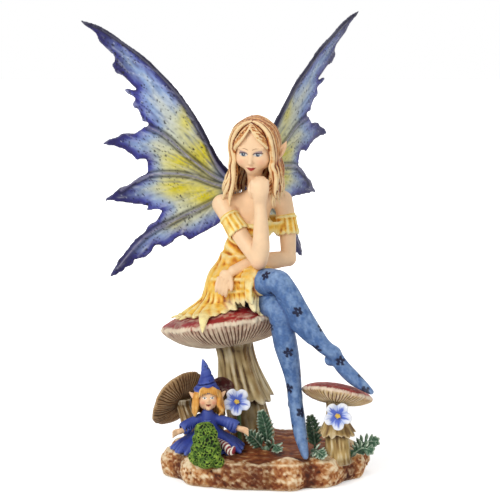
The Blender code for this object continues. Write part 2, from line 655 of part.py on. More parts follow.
def make_pixie(neighbours):
    half = pixie_head_width / 2
    ground = base_height
    head = Vector((-24.0, -18.0, ground + 22.3))
    clay = Clay()
    add_ball(clay, head, (half, half * 0.95, half * 1.12))
    add_ball(clay, head + Vector((0, 1.6, 0.8)), (half * 1.22, half, half * 1.18))
    for side in (-1, 1):
        ear = head + Vector((side * half * 1.1, 0, 0.2))
        add_tube(clay, [(*ear, 1.3), (*(ear + Vector((side * 3.0, 0.4, 1.0))), 0.4)])
        lock = [(*(head + Vector((side * half, 0.5, 3.0))), 1.4), (*(head + Vector((side * half * 1.25, 0, -3.0))), 1.5),
                (*(head + Vector((side * half * 1.5, 0.5, -7.5))), 0.8)]
        add_tube(clay, lock)
    hat = head + Vector((-0.6, 0.8, half * 0.75))
    add_tube(clay, [(*hat, half * 1.05), (*(hat + Vector((0.2, 0.3, pixie_hat_height * 0.4))), half * 0.62),
                    (*(hat + Vector((-0.8, 0.4, pixie_hat_height))), 0.7)], round_ends=False)
    body = Vector((-24.0, -18.5, ground))
    add_tube(clay, [(*(body + Vector((0, -1.0, 4.0))), 6.2), (*(body + Vector((0, 0, 11.5))), 4.4),
                    (*(body + Vector((0, 0, 16.0))), 2.8)])
    # Sleeves, hands, the spread skirt, and one striped leg
    left_hand, right_hand = body + Vector((14.5, -4.0, 10.0)), body + Vector((-12.0, -4.5, 9.0))
    for hand, side in ((left_hand, 1), (right_hand, -1)):
        shoulder = body + Vector((side * 3.4, 0, 14.0))
        cuff = shoulder.lerp(hand, 0.62)
        add_tube(clay, [(*shoulder, 2.0), (*cuff, 2.7)], round_ends=True)
        add_tube(clay, [(*cuff, 1.5), (*shoulder.lerp(hand, 0.9), 1.3), (*hand, 1.4)])
    for turn, reach in ((-168, 1.15), (-140, 1.1), (-112, 0.9), (-62, 0.85), (-30, 1.0), (-8, 1.25)):
        out = Vector((math.cos(math.radians(turn)), math.sin(math.radians(turn)), 0))
        edge = body + out * pixie_skirt_reach * reach
        add_tube(clay, [(*(body + Vector((0, 0, 7.0))), 4.6), (*(body + out * pixie_skirt_reach * 0.6 * reach
                 + Vector((0, 0, 3.6))), 3.4), (*(edge + Vector((0, 0, 1.4))), 1.8)])
    add_tube(clay, [(*(body + Vector((4.0, -6.0, 5.0))), 1.9), (*(body + Vector((7.6, -10.5, 4.6))), 1.9),
                    (*(body + Vector((10.0, -13.8, 2.4))), 1.6)])
    return cast(clay, "pixie", 0.5, 1240, 1, neighbours, small=True)


# Moss, flowers and ferns


def make_moss(neighbours):
    foot = Vector((-24.6, base_middle_y - base_depth / 2 + 6.8, base_height + 0.6))
    clay = Clay()
    turns = 26
    for i in range(turns):
        share = i / (turns - 1)
        angle = 2.4 * i
        spread = 6.4 * (1 - 0.62 * share)
        lump = foot + Vector((math.cos(angle) * spread, math.sin(angle) * spread * 0.62 + 3.0 * share,
                              -3.4 + (moss_height - 2.4) * share))
        add_ball(clay, lump, (2.8 - 0.5 * share,) * 3, detail=6)
    add_tube(clay, [(*(foot + Vector((0, 1.0, -2.0))), 4.6), (*(foot + Vector((0.4, 3.0, moss_height - 5.0))), 3.0)])
    return cast(clay, "moss", 0.6, 480, 0, neighbours, small=True)


def petal_edge(angle):
    """Five round petals."""
    return 0.64 + 0.36 * abs(math.cos(2.5 * angle)) ** 0.6


def make_flower(name, centre, facing, stalk, neighbours):
    facing = Vector(facing).normalized()
    centre = Vector(centre)
    cup = ((0.16, -1.0, None), (0.50, -0.7, petal_edge), (0.97, 0.7, petal_edge), (1.0, 1.3, petal_edge),
           (0.92, 1.5, petal_edge), (0.50, 0.8, petal_edge), (0.20, 0.7, None), (0.17, 1.5, None))
    clay = Clay()
    add_loft(clay, [ring_at(centre + facing * height, facing, flower_radius * share, 40, ripple)
                    for share, height, ripple in cup])
    if stalk:
        add_tube(clay, [(*centre, flower_stalk_radius), *[(*point, flower_stalk_radius) for point in stalk]])
    return cast(clay, name, 0.4, 320, 0, neighbours, small=True)


def make_fern(name, fronds, neighbours):
    """Fronds on arching stalks, with a pair of leaflets every few millimetres."""
    clay = Clay()
    root = sum((Vector(frond[0]) for frond in fronds), Vector()) / len(fronds)
    add_ball(clay, root + Vector((0, 0, 0.8)), (2.0, 2.0, 1.6), detail=6)
    for frond in fronds:
        path = [Vector(p) for p in smooth_path(frond, 2)]
        add_tube(clay, [(*p, 0.75) for p in path], steps=1)
        for i in range(1, len(path)):
            along = (path[i] - path[i - 1]).normalized()
            sideways = along.cross(Vector((0.25, -1, 0.35))).normalized()
            length = fern_leaf_length * (0.45 + 0.55 * math.sin(math.pi * (0.25 + 0.7 * i / len(path))))
            for side in (-1, 1):
                tip = path[i] + (sideways * side + along * 0.6).normalized() * length
                add_tube(clay, [(*path[i], 0.6), (*((path[i] + tip) / 2), 1.05), (*tip, 0.35)], steps=2)
    return cast(clay, name, 0.45, 380, 0, neighbours, small=True)


clear_scene()
figurine = collection("fairy_figurine")
cutters = collection("cutters")

base = make_base()
large, small, leaning, dark = make_toadstools(base)
fairy = make_fairy([large, small, base])
seat = fairy_seat()
right_wing = make_wing("right_wing", seat + Vector((-3.0, 6.6, 50.4)), (-1, 0.09, 0), (0, 0, 1), 0, [fairy])
make_wing("left_wing", seat + Vector((11.0, 13.0, 52.8)), (0.573, 0.81, -0.05), (0.169, 0, 1), 4.5,
          [fairy, right_wing])
pixie = make_pixie([base, leaning, dark, large])
moss = make_moss([base, pixie])
ground = base_height
left_flower = make_flower("left_flower", (-12.0, -13.6, ground + 19.5), (0.10, -1, 0.25),
                          [(-11.0, -11.4, ground + 12.0), (-10.5, -12.6, ground - 1)], [base, large, pixie])
right_flower = make_flower("right_flower", (small_foot_x - 0.7, small_foot_y - 6.2, small_cap_height - 6.6), (0.04, -1, 0.18), [], [small])
make_fern("fern_by_pixie", (
    ((1.0, -16.0, ground - 1), (0.5, -15.6, ground + 7), (-1.5, -15.0, ground + 15)),
    ((0.0, -18.0, ground - 1), (-4.0, -20.5, ground + 5), (-7.0, -22.0, ground + 8)),
    ((1.0, -18.0, ground - 1), (3.5, -22.0, ground + 3.2), (5.5, -25.5, ground + 2.0)),
), [base, large, pixie, left_flower])
make_fern("fern_by_foot", (
    ((21.0, -20.0, ground - 1), (20.5, -19.5, ground + 7), (19.0, -19.0, ground + 14)),
    ((20.5, -22.0, ground - 1), (21.0, -29.0, ground + 2.6), (24.0, -34.0, ground + 2.0)),
), [base, large, small, fairy])
edge = base_width / 2
make_fern("fern_by_edge", (
    ((edge - 8.0, -22.0, ground - 1), (edge - 3.5, -24.0, ground + 4.5), (edge + 2.0, -24.5, ground + 5.5)),
    ((edge - 8.5, -24.0, ground - 1), (edge - 4.5, -28.0, ground + 3.4), (edge - 0.5, -29.5, ground + 3.0)),
), [base, small])

for piece in list(figurine.objects) + list(cutters.objects):
    piece.data.transform(Matrix.Translation((0, -base_middle_y * mm, 0)))
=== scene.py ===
import math

import bpy
import numpy as np
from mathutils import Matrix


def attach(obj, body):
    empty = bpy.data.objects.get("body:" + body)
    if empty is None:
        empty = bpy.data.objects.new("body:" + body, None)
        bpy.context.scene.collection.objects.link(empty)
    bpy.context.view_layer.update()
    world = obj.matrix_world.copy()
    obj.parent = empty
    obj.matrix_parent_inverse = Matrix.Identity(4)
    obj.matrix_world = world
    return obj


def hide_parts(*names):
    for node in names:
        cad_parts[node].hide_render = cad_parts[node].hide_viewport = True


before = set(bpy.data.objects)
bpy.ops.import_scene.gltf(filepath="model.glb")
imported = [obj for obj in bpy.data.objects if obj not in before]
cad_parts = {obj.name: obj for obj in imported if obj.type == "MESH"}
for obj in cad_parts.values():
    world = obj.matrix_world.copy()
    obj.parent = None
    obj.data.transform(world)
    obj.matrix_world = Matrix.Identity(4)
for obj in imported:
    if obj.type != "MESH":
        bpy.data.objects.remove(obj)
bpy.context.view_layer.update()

import openvdb
from mathutils import Vector
from mathutils.kdtree import KDTree

coarse = 1.0

# All sizes below are in millimetres, measured from under the middle of the large stem.
# The frame's origin is under the middle of the rock base, so y is shifted as a mesh is made.
baseMiddleY = -11.0


# colour

def linear(hexCode):
    # sRGB hex to linear numbers
    s = np.array([int(hexCode[i:i + 2], 16) for i in (0, 2, 4)]) / 255
    return np.where(s <= 0.04045, s / 12.92, ((s + 0.055) / 1.055) ** 2.4)


def ramp(share, *stops):
    # colours along a share, given as (place, hex), and held past the first and the last place
    places = [stop[0] for stop in stops]
    colours = np.array([linear(stop[1]) for stop in stops])
    return np.stack([np.interp(share, places, colours[:, i]) for i in range(3)], -1)


def over(paint, mask, hexCode):
    # lays a colour over the paint wherever the mask is above 0
    mask = np.clip(mask, 0, 1)[:, None]
    return paint * (1 - mask) + linear(hexCode) * mask


def rise(value, low, high):
    # 0 under low, 1 over high, smooth between
    t = np.clip((value - low) / (high - low), 0, 1)
    return t * t * (3 - 2 * t)


# repeatable noise

def hashed(cells, seed):
    c = cells.astype(np.int64)
    h = (c[..., 0] * 73856093) ^ (c[..., 1] * 19349663) ^ (c[..., 2] * 83492791) ^ (seed * 40503 + 977)
    h = (h ^ (h >> 13)) * 1274126177 & 0xFFFFFFFF
    return ((h ^ (h >> 16)) & 0xFFFF) / 65535.0


def mottle(points, size, seed=0):
    # soft noise from -1 to 1, with blotches about this many millimetres across
    p = np.asarray(points, float) / size
    cell = np.floor(p)
    f = p - cell
    f = f * f * (3 - 2 * f)
    total = 0.0
    for corner in range(8):
        step = np.array([corner & 1, corner >> 1 & 1, corner >> 2 & 1])
        weight = np.prod(np.where(step == 1, f, 1 - f), -1)
        total = total + weight * hashed(cell + step, seed)
    return total * 2 - 1


def pebbles(points, size, seed=0):
    # distances, in cells, to the nearest and the next nearest of scattered points
    p = np.asarray(points, float) / size
    cell = np.floor(p)
    near = np.full(p.shape[:-1], 9.0)
    second = near.copy()
    for i in (-1, 0, 1):
        for j in (-1, 0, 1):
            for k in (-1, 0, 1):
                c = cell + np.array([i, j, k])
                spot = c + np.stack([hashed(c, seed + n) for n in (1, 2, 3)], -1)
                d = np.linalg.norm(p - spot, axis=-1)
                second = np.minimum(second, np.maximum(near, d))
                near = np.minimum(near, d)
    return near, second


# curves

def smoothPath(rows, steps=6):
    # Catmull-Rom through rows of x, y, z, radius, ...
    rows = np.array([rows[0], *rows, rows[-1]], float)
    t = np.linspace(0, 1, steps, endpoint=False)[:, None]
    parts = []
    for a, b, c, d in zip(rows, rows[1:], rows[2:], rows[3:]):
        parts.append(0.5 * (2 * b + (c - a) * t + (2 * a - 5 * b + 4 * c - d) * t**2
                            + (3 * b - a - 3 * c + d) * t**3))
    return np.vstack(parts + [rows[-1:]])


def lengthsAlong(path):
    # how far along the path each of its points lies
    return np.concatenate([[0], np.cumsum(np.linalg.norm(np.diff(path[:, :3], axis=0), axis=1))])


def spotAlong(path, lengths, at):
    return np.array([np.interp(at, lengths, path[:, n]) for n in range(path.shape[1])])


def unit(v):
    v = np.asarray(v, float)
    return v / np.linalg.norm(v, axis=-1, keepdims=True)


# clay: a block of distances to a surface, which shapes are pressed into

farthest = 3.0   # mm, distances are kept up to this
reachPast = 1.2  # mm, how far past a shape its distances are worked out


class Clay:
    def __init__(self, low, high, step):
        self.low, self.step = np.array(low, float), step
        count = np.ceil((np.array(high, float) - self.low) / step).astype(int) + 1
        self.far = np.full(count, farthest, np.float32)

    def window(self, low, high):
        first = np.clip(np.floor((np.asarray(low) - self.low) / self.step), 0, self.far.shape).astype(int)
        last = np.clip(np.ceil((np.asarray(high) - self.low) / self.step) + 1, 0, self.far.shape).astype(int)
        axes = [self.low[i] + self.step * np.arange(first[i], last[i]) for i in range(3)]
        return tuple(slice(a, b) for a, b in zip(first, last)), np.meshgrid(*axes, indexing="ij", sparse=True)

    def blend(self, where, new, soft, cut):
        old = -self.far[where] if cut else self.far[where]
        made = np.minimum(old, new)
        if soft:
            made = made - np.maximum(soft - np.abs(old - new), 0) ** 2 / (4 * soft)
        self.far[where] = np.clip(-made if cut else made, -farthest, farthest)

    def press(self, low, high, distance, soft=0.0, cut=False):
        # joins a shape, or cuts it away; soft is how wide the fillet is
        margin = reachPast + soft
        where, grid = self.window(np.asarray(low) - margin, np.asarray(high) + margin)
        if 0 in self.far[where].shape:
            return
        self.blend(where, distance(*grid), soft, cut)

    def ball(self, centre, radii, axes=np.eye(3), soft=0.0, cut=False):
        # an ellipsoid; the rows of axes are its own directions
        centre, radii, axes = np.asarray(centre, float), np.asarray(radii, float), unit(axes)
        reach = np.sqrt(((axes * radii[:, None]) ** 2).sum(0))

        def distance(x, y, z):
            x, y, z = x - centre[0], y - centre[1], z - centre[2]
            local = [x * a[0] + y * a[1] + z * a[2] for a in axes]
            k0 = np.sqrt(sum((p / r) ** 2 for p, r in zip(local, radii)))
            k1 = np.sqrt(sum((p / r**2) ** 2 for p, r in zip(local, radii))) + 1e-6
            return k0 * (k0 - 1) / k1

        self.press(centre - reach, centre + reach, distance, soft, cut)

    def limb(self, rows, steps=6, soft=0.0, flat=None, cut=False):
        # a tapered tube; flat = (direction, share) squeezes it along a direction
        path = smoothPath(rows, steps) if steps > 1 else np.array(rows, float)
        reach = path[:, 3:4] * (1.0 if flat is None else max(1.0, 1 / flat[1]))
        low, high = (path[:, :3] - reach).min(0), (path[:, :3] + reach).max(0)
        margin = reachPast + soft
        where, _ = self.window(low - margin, high + margin)
        if 0 in self.far[where].shape:
            return
        start = np.array([s.start for s in where])
        tube = np.full(self.far[where].shape, farthest, np.float32)
        for a, b in zip(path, path[1:]):
            r = max(a[3], b[3]) * (1.0 if flat is None else max(1.0, 1 / flat[1])) + margin
            w, (x, y, z) = self.window(np.minimum(a, b)[:3] - r, np.maximum(a, b)[:3] + r)
            inner = tuple(slice(s.start - o, s.stop - o) for s, o in zip(w, start))
            inner = tuple(slice(max(s.start, 0), max(s.stop, 0)) for s in inner)
            if tube[inner].shape != np.broadcast_shapes(x.shape, y.shape, z.shape):
                shape = tube[inner].shape
                axes = [self.low[i] + self.step * (inner[i].start + start[i] + np.arange(shape[i]))
                    for i in range(3)]
                x, y, z = np.meshgrid(*axes, indexing="ij", sparse=True)
            along = b[:3] - a[:3]
            size = max((along**2).sum(), 1e-9)
            dx, dy, dz = x - a[0], y - a[1], z - a[2]
            t = np.clip((dx * along[0] + dy * along[1] + dz * along[2]) / size, 0, 1)
            px, py, pz = dx - t * along[0], dy - t * along[1], dz - t * along[2]
            gap = px**2 + py**2 + pz**2
            if flat is not None:
                n = unit(flat[0])
                off = px * n[0] + py * n[1] + pz * n[2]
                gap = gap + off**2 * (1 / flat[1] ** 2 - 1)
            d = np.sqrt(gap) - (a[3] + t * (b[3] - a[3]))
            tube[inner] = np.minimum(tube[inner], d)
        self.blend(where, tube, soft, cut)

    def surface(self):
        # points and four-sided faces of the clay's skin
        grid = openvdb.FloatGrid(farthest)
        grid.copyFromArray(np.ascontiguousarray(self.far, np.float32))
        points, quads = grid.convertToQuads(isovalue=0.0)
        return points.astype(float) * self.step + self.low, quads.astype(int)


# meshes

def edgesOf(faces):
    sides = faces.shape[1]
    pairs = np.vstack([faces[:, [i, (i + 1) % sides]] for i in range(sides)])
    return pairs[pairs[:, 0] != pairs[:, 1]]


def averaged(values, pairs, count, rounds):
    # each point's value drawn towards its neighbours', this many times
    a = np.concatenate([pairs[:, 0], pairs[:, 1]])
    b = np.concatenate([pairs[:, 1], pairs[:, 0]])
    degree = np.maximum(np.bincount(a, minlength=count), 1)
    values = np.array(values, float)
    flat = values.reshape(count, -1)
    for _ in range(rounds):
        flat = np.stack([np.bincount(a, weights=flat[b, i], minlength=count) / degree
                         for i in range(flat.shape[1])], -1)
    return flat.reshape(values.shape)


def loftFaces(rows, count, closed=True):
    # four-sided faces over a grid of rows by count points, row after row
    i, j = np.meshgrid(np.arange(rows - 1), np.arange(count if closed else count - 1), indexing="ij")
    a = i * count + j
    b = i * count + (j + 1) % count
    return np.stack([a, b, b + count, a + count], -1).reshape(-1, 4)


# rounds of averaging, and how much each counts: fine, middling and broad hollows
hollowRounds = ((1, 2.2), (4, 1), (11, 0.45))


def makePiece(name, points, faces, paint, material, nodes, relief=None):
    # the mesh, with its paint and how hollow each spot is, fixed to the frame
    points = np.asarray(points, float)
    mesh = bpy.data.meshes.new(name)
    place = (points - np.array([0, baseMiddleY, 0])) * 0.001
    mesh.vertices.add(len(place))
    mesh.vertices.foreach_set("co", place.astype(np.float32).ravel())
    mesh.loops.add(faces.size)
    mesh.loops.foreach_set("vertex_index", faces.astype(np.int32).ravel())
    mesh.polygons.add(len(faces))
    mesh.polygons.foreach_set("loop_start", (np.arange(len(faces)) * faces.shape[1]).astype(np.int32))
    mesh.update(calc_edges=True)
    mesh.validate()
    mesh.shade_smooth()
    normals = np.zeros(len(place) * 3, np.float32)
    mesh.vertex_normals.foreach_get("vector", normals)
    normals = normals.reshape(-1, 3)
    pairs = edgesOf(faces)
    hollow = np.zeros(len(points))
    for rounds, gain in hollowRounds:
        hollow += gain * ((averaged(points, pairs, len(points), rounds) - points) * normals).sum(-1)
    if relief is not None:
        hollow = hollow + relief
    if callable(paint):
        paint = paint(points, normals, hollow)
    colour = mesh.color_attributes.new("paint", "FLOAT_COLOR", "POINT")
    rgba = np.ones((len(points), 4), np.float32)
    rgba[:, :3] = np.clip(paint, 0, 1)
    colour.data.foreach_set("color", rgba.ravel())
    wash = mesh.attributes.new("hollow", "FLOAT", "POINT")
    wash.data.foreach_set("value", np.clip(hollow, -2, 2).astype(np.float32))
    piece = bpy.data.objects.new(name, mesh)
    bpy.context.scene.collection.objects.link(piece)
    mesh.materials.append(material)
    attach(piece, "root")
    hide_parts(*nodes)
    print(name, len(faces) * (faces.shape[1] - 2), "triangles")


# paint

def addNode(tree, kind, settings, links):
    # one node; settings go to its fields or sockets, and links name what feeds each socket
    node = tree.nodes.new("ShaderNode" + kind)
    for key, value in settings.items():
        if isinstance(key, str) and hasattr(node, key):
            setattr(node, key, value)
        else:
            node.inputs[key].default_value = value
    for key, source in links.items():
        tree.links.new(source, node.inputs[key])
    return node


# grain is the resin's own tooth and blotch how far one load of paint reaches, both in mm
plainResin = {"grain": 0.35, "blotch": 3.0, "uneven": 0.12, "wash": 0.8, "washFrom": 0.05, "washTo": 0.5,
              "washColour": "3A1E10", "ridge": 0.4, "ridgeFrom": 0.12, "ridgeTo": 0.7,
              "ridgeColour": "F4E6C8",
              "bump": 0.25, "rough": 0.5, "coat": 0.02, "ior": 1.45, "specular": 0.28}


def paintedResin(name, look):
    # Cold-cast resin, brushed with acrylic: a dark wash stays in the hollows, a pale dry
    # brush catches the ridges, and the sealer leaves a soft sheen with fine brush marks
    look = {**plainResin, **look}
    material = bpy.data.materials.new(name)
    material.use_nodes = True
    tree = material.node_tree
    tree.nodes.clear()
    place = addNode(tree, "TexCoord", {}, {}).outputs["Object"]
    paint = addNode(tree, "Attribute", {"attribute_name": "paint"}, {}).outputs["Color"]
    hollow = addNode(tree, "Attribute", {"attribute_name": "hollow"}, {}).outputs["Fac"]
    patchy = addNode(tree, "TexNoise", {"Scale": 1000 / look["blotch"], "Detail": 3.0, "Roughness": 0.6},
                     {"Vector": place}).outputs["Fac"]
    tooth = addNode(tree, "TexNoise", {"Scale": 1000 / look["grain"], "Detail": 2.0, "Roughness": 0.6},
                    {"Vector": place}).outputs["Fac"]
    tone = addNode(tree, "MapRange", {"From Min": 0.3, "From Max": 0.7, "To Min": 1 - look["uneven"],
                                      "To Max": 1 + look["uneven"]}, {"Value": patchy}).outputs[0]
    shaded = addNode(tree, "VectorMath", {"operation": "SCALE"}, {0: paint, "Scale": tone}).outputs[0]
    dark = addNode(tree, "MapRange", {"From Min": look["washFrom"], "From Max": look["washTo"],
                                      "To Max": look["wash"]}, {"Value": hollow}).outputs[0]
    washed = addNode(tree, "Mix", {"data_type": "RGBA", 7: (*linear(look["washColour"]), 1)},
                     {0: dark, 6: shaded}).outputs[2]
    uneven = addNode(tree, "Math", {"operation": "MULTIPLY_ADD", 1: 0.35, 2: -0.175}, {0: tooth}).outputs[0]
    ridge = addNode(tree, "Math", {"operation": "SUBTRACT"}, {0: uneven, 1: hollow}).outputs[0]
    pale = addNode(tree, "MapRange", {"From Min": look["ridgeFrom"], "From Max": look["ridgeTo"],
                                      "To Max": look["ridge"]}, {"Value": ridge}).outputs[0]
    brushed = addNode(tree, "Mix", {"data_type": "RGBA", 7: (*linear(look["ridgeColour"]), 1)},
                      {0: pale, 6: washed}).outputs[2]
    bump = addNode(tree, "Bump", {"Strength": look["bump"], "Distance": 0.0002}, {"Height": tooth}).outputs[0]
    rough = addNode(tree, "MapRange", {"To Min": look["rough"] - 0.08, "To Max": look["rough"] + 0.08},
                    {"Value": patchy}).outputs[0]
    shader = addNode(tree, "BsdfPrincipled", {"IOR": look["ior"], "Specular IOR Level": look["specular"],
        "Coat Weight": look["coat"], "Coat Roughness": 0.3},
                     {"Base Color": brushed, "Roughness": rough, "Normal": bump})
    addNode(tree, "OutputMaterial", {}, {"Surface": shader.outputs[0]})
    return material


# places shared by several pieces

seat = np.array([-15, 2, 69.2])   # top of the large cap
torsoTurn = 0.44                      # radians that her shoulders are turned
torsoAxes = np.array([[math.cos(torsoTurn), math.sin(torsoTurn), 0],
                      [-math.sin(torsoTurn), math.cos(torsoTurn), 0], [0, 0, 1]])


def fromSeat(rows):
    return [(*(np.array(row[:3]) + seat), *row[3:]) for row in rows]


# fairy: head

head = {"centre": seat + np.array([10.6, -9.4, 69.6]), "step": 0.26, "eyeOut": 3.05, "eyeUp": -0.9,
        "skin": "F4CFA6", "shadow": "C98A55", "blush": "E79A78", "lips": "A8352E", "iris": "3C566E",
        "lid": "7C6A86", "brow": "8A5228", "line": "2B1812", "white": "DDD8D0",
        "pupil": "0C0F16", "glint": "FFFFFF", "nostril": "8A4A30", "lipLine": "5A1714"}
headFront = unit([-0.22, -0.96, -0.16])
headSide = unit(np.cross([0, 0, 1], headFront))     # towards her left
headUp = np.cross(headFront, headSide)
headAxes = np.array([headSide, headFront, headUp])


def inHead(side, front, up):
    return head["centre"] + side * headSide + front * headFront + up * headUp


def paintHead(points, normals, hollow):
    local = points - head["centre"]
    a, c, b = local @ headSide, local @ headFront, local @ headUp
    paint = np.tile(linear(head["skin"]), (len(points), 1))
    paint = over(paint, 0.45 * rise(-b, 9.0, 13.5), head["shadow"])
    paint = over(paint, 0.3 * rise(np.abs(a), 5.6, 8.0), head["shadow"])
    front = c > 3.0
    for s in (-1, 1):
        u, v = a - s * head["eyeOut"], b - head["eyeUp"]
        paint = over(paint, front * 0.42 * np.exp(-((u - s * 1.3) / 1.9)**2 - ((v + 3.2) / 1.6)**2),
            head["blush"])
        # lid colour, white, iris, pupil, glint and lash line
        v = v - 0.04 * s * u
        upper = 0.8 - 0.34 * (u / 1.7)**2
        lower = -0.66 + 0.3 * (u / 1.7)**2
        lidTop = upper + 1.0 + 0.12 * s * u
        paint = over(paint, front * 0.75 * rise(1.95 - np.abs(u), 0, 0.4) * (v > 0)
            * rise(lidTop - v, 0, 0.35), head["lid"])
        inside = front * rise(upper - v, -0.06, 0.08) * rise(v - lower, -0.06, 0.08) * rise(1.75 - np.abs(u),
            0, 0.12)
        paint = over(paint, inside, head["white"])
        gaze = np.hypot(u + 0.05, v - 0.12)
        paint = over(paint, inside * rise(0.86 - gaze, 0, 0.12), head["iris"])
        paint = over(paint, inside * rise(0.42 - gaze, 0, 0.12), head["pupil"])
        paint = over(paint, front * rise(0.27 - np.abs(v - upper - 0.08), 0, 0.12)
            * rise(2.15 - np.abs(u), 0, 0.2), head["line"])
        paint = over(paint, front * 0.55 * rise(0.09 - np.abs(v - lower), 0, 0.1)
            * rise(1.5 - np.abs(u), 0, 0.3), head["line"])
        arch = 2.95 - 0.105 * (u * s - 0.15)**2
        paint = over(paint, front * 0.85 * rise(0.2 - 0.045 * (u * s + 2) - np.abs(v - arch), -0.05, 0.1)
                     * rise(2.3 - np.abs(u), 0, 0.3), head["brow"])
        paint = over(paint, front * rise(0.2 - np.hypot(u - 0.15, v - 0.34), 0, 0.08), head["glint"])
        # nostrils
        paint = over(paint, front * 0.6 * rise(0.34 - np.hypot(a - s * 0.55, b + 4.95), 0, 0.2),
            head["nostril"])
    # lips, fuller below, with the line between them
    lift = 0.13 * np.abs(a)
    upperLip = 0.74 * np.clip(1 - (np.abs(a) / 2.3)**1.6, 0, 1) - 0.14 * np.exp(-(a / 0.4)**2)
    lowerLip = 0.92 * np.clip(1 - (np.abs(a) / 1.9)**2, 0, 1)
    v = b + 6.88 - lift
    lips = front * (rise(upperLip - v, -0.05, 0.1) * (v >= 0) * (upperLip > 0.05)
                    + rise(lowerLip + v, -0.05, 0.1) * (v < 0) * (lowerLip > 0.05))
    paint = over(paint, lips, head["lips"])
    paint = over(paint, front * 0.6 * rise(0.08 - np.abs(v), 0, 0.08) * (np.abs(a) < 2.15), head["lipLine"])
    return paint


def makeHead():
    at = inHead
    clay = Clay(head["centre"] - [12, 14, 19], head["centre"] + [13, 12, 14], head["step"] * coarse)
    clay.ball(at(0, -0.6, 2.6), (8.3, 9, 9.2), headAxes)
    clay.ball(at(0, 1.9, -3.0), (6.8, 6.4, 6.7), headAxes, soft=2.5)
    clay.ball(at(0, 5.3, -8.2), (2.3, 2, 1.8), headAxes, soft=2.5)
    for s in (-1, 1):
        clay.ball(at(s * 4.0, 4.3, -3.8), (2.8, 2.9, 2.8), headAxes, soft=2.0)
        clay.ball(at(s * 4.6, 1.0, -5.6), (2, 3, 2.4), headAxes, soft=2.0)
    for s in (-1, 1):
        clay.ball(at(s * head["eyeOut"], 9.2, head["eyeUp"]), (2.2, 1.9, 1.35), headAxes, soft=1.0, cut=True)
    for s in (-1, 1):
        clay.ball(at(s * head["eyeOut"], 6.15, head["eyeUp"]), (2, 1.75, 1.5), headAxes, soft=0.25)
        lid = [(*at(s * head["eyeOut"] + u, 7.72 - 0.1 * u * u, head["eyeUp"] + 0.98 - 0.3 * (u / 1.5)**2),
            0.28)
               for u in (-1.7, -0.9, 0, 0.9, 1.7)]
        clay.limb(lid, 3, soft=0.35)
        brow = [(*at(s * (head["eyeOut"] + u), 7.6 - 0.14 * (u + 0.5)**2, head["eyeUp"] + 2.7), 0.4)
            for u in (-2, 0, 2)]
        clay.limb(brow, 3, soft=1.2)
    clay.limb([(*at(0, 7.4, 0.6), 0.75), (*at(0, 8.4, -2.2), 0.68), (*at(0, 9.15, -3.9), 0.82)], 4, soft=1.0)
    for s in (-1, 1):
        clay.ball(at(s * 0.7, 8.45, -4.4), (0.55, 0.75, 0.5), headAxes, soft=0.5)
    clay.limb([(*at(-2.1, 6.9, -6.5), 0.26), (*at(-0.7, 7.75, -6.35), 0.46), (*at(0, 7.85, -6.5), 0.44),
               (*at(0.7, 7.75, -6.35), 0.46), (*at(2.1, 6.9, -6.5), 0.26)], 4, soft=0.5)
    clay.limb([(*at(-1.6, 6.95, -7.15), 0.32), (*at(0, 7.7, -7.5), 0.62), (*at(1.6, 6.95, -7.15), 0.32)], 4,
        soft=0.4)
    clay.limb([(*at(-2.0, 7.3, -6.84), 0.1), (*at(0, 8.35, -6.92), 0.14), (*at(2.0, 7.3, -6.84), 0.1)], 4,
        cut=True)
    # pointed ears, and the neck
    clay.limb([(*at(7.8, 0.2, -5.0), 1.1), (*at(10.2, -0.2, -2.6), 1.75), (*at(12.2, -1.0, 0.2), 1.2),
        (*at(14.0, -1.8, 3.0), 0.25)], 5,
              soft=0.6, flat=(headFront, 0.5))
    clay.limb([(*at(9.6, 1.0, -3.2), 0.8), (*at(11.4, 0.2, -0.6), 0.6), (*at(12.6, -0.4, 1.0), 0.3)], 4,
        soft=0.4, cut=True)
    clay.limb([(-4.4, -6.4, 118, 3.5), (-4.2, -7.6, 124, 3.1), (-4.4, -8, 129, 3.3)], 5, soft=1.8)
    points, faces = clay.surface()
    makePiece("fairyHead", points, faces, paintHead, resins["skin"], ["fairy"])


# fairy: neck, shoulders, arms and hands

limbs = {
    "step": 0.52,
    "rightUpper": [(-3, -8, 45.2, 4), (0.8, -11.6, 39.4, 3.8), (7, -18, 30.8, 3.4), (12.2, -23.4, 24.4, 3.1)],
    "rightFore": [(12.4, -23.8, 24.2, 3.1), (13.2, -24, 29.5, 3.65), (13.2, -22.4, 38.5, 3.1),
        (12.8, -19.6, 47.6, 2.3)],
    "leftUpper": [(22.4, 0.4, 45.2, 4.1), (24, -0.8, 37.5, 3.8), (24.6, -3.2, 29, 3.4),
        (24.8, -5.6, 21.8, 3.1)],
    "leftFore": [(24.7, -5.8, 21.6, 3), (19, -9.6, 21.8, 3.6), (10.5, -14, 21.6, 3.1), (1.8, -17.4, 19, 2.2)],
}


def paintSkin(points, normals, hollow):
    paint = np.tile(linear(head["skin"]), (len(points), 1))
    paint = over(paint, 0.35 * rise(-normals[:, 2], 0.1, 0.9), head["shadow"])
    near = np.linalg.norm(points - (seat + [12.4, -24.5, 23]), axis=1)
    paint = over(paint, 0.35 * rise(5 - near, 0, 4), head["blush"])
    return paint


def finger(clay, rows, soft=0.25):
    clay.limb(fromSeat(rows), 4, soft=soft)


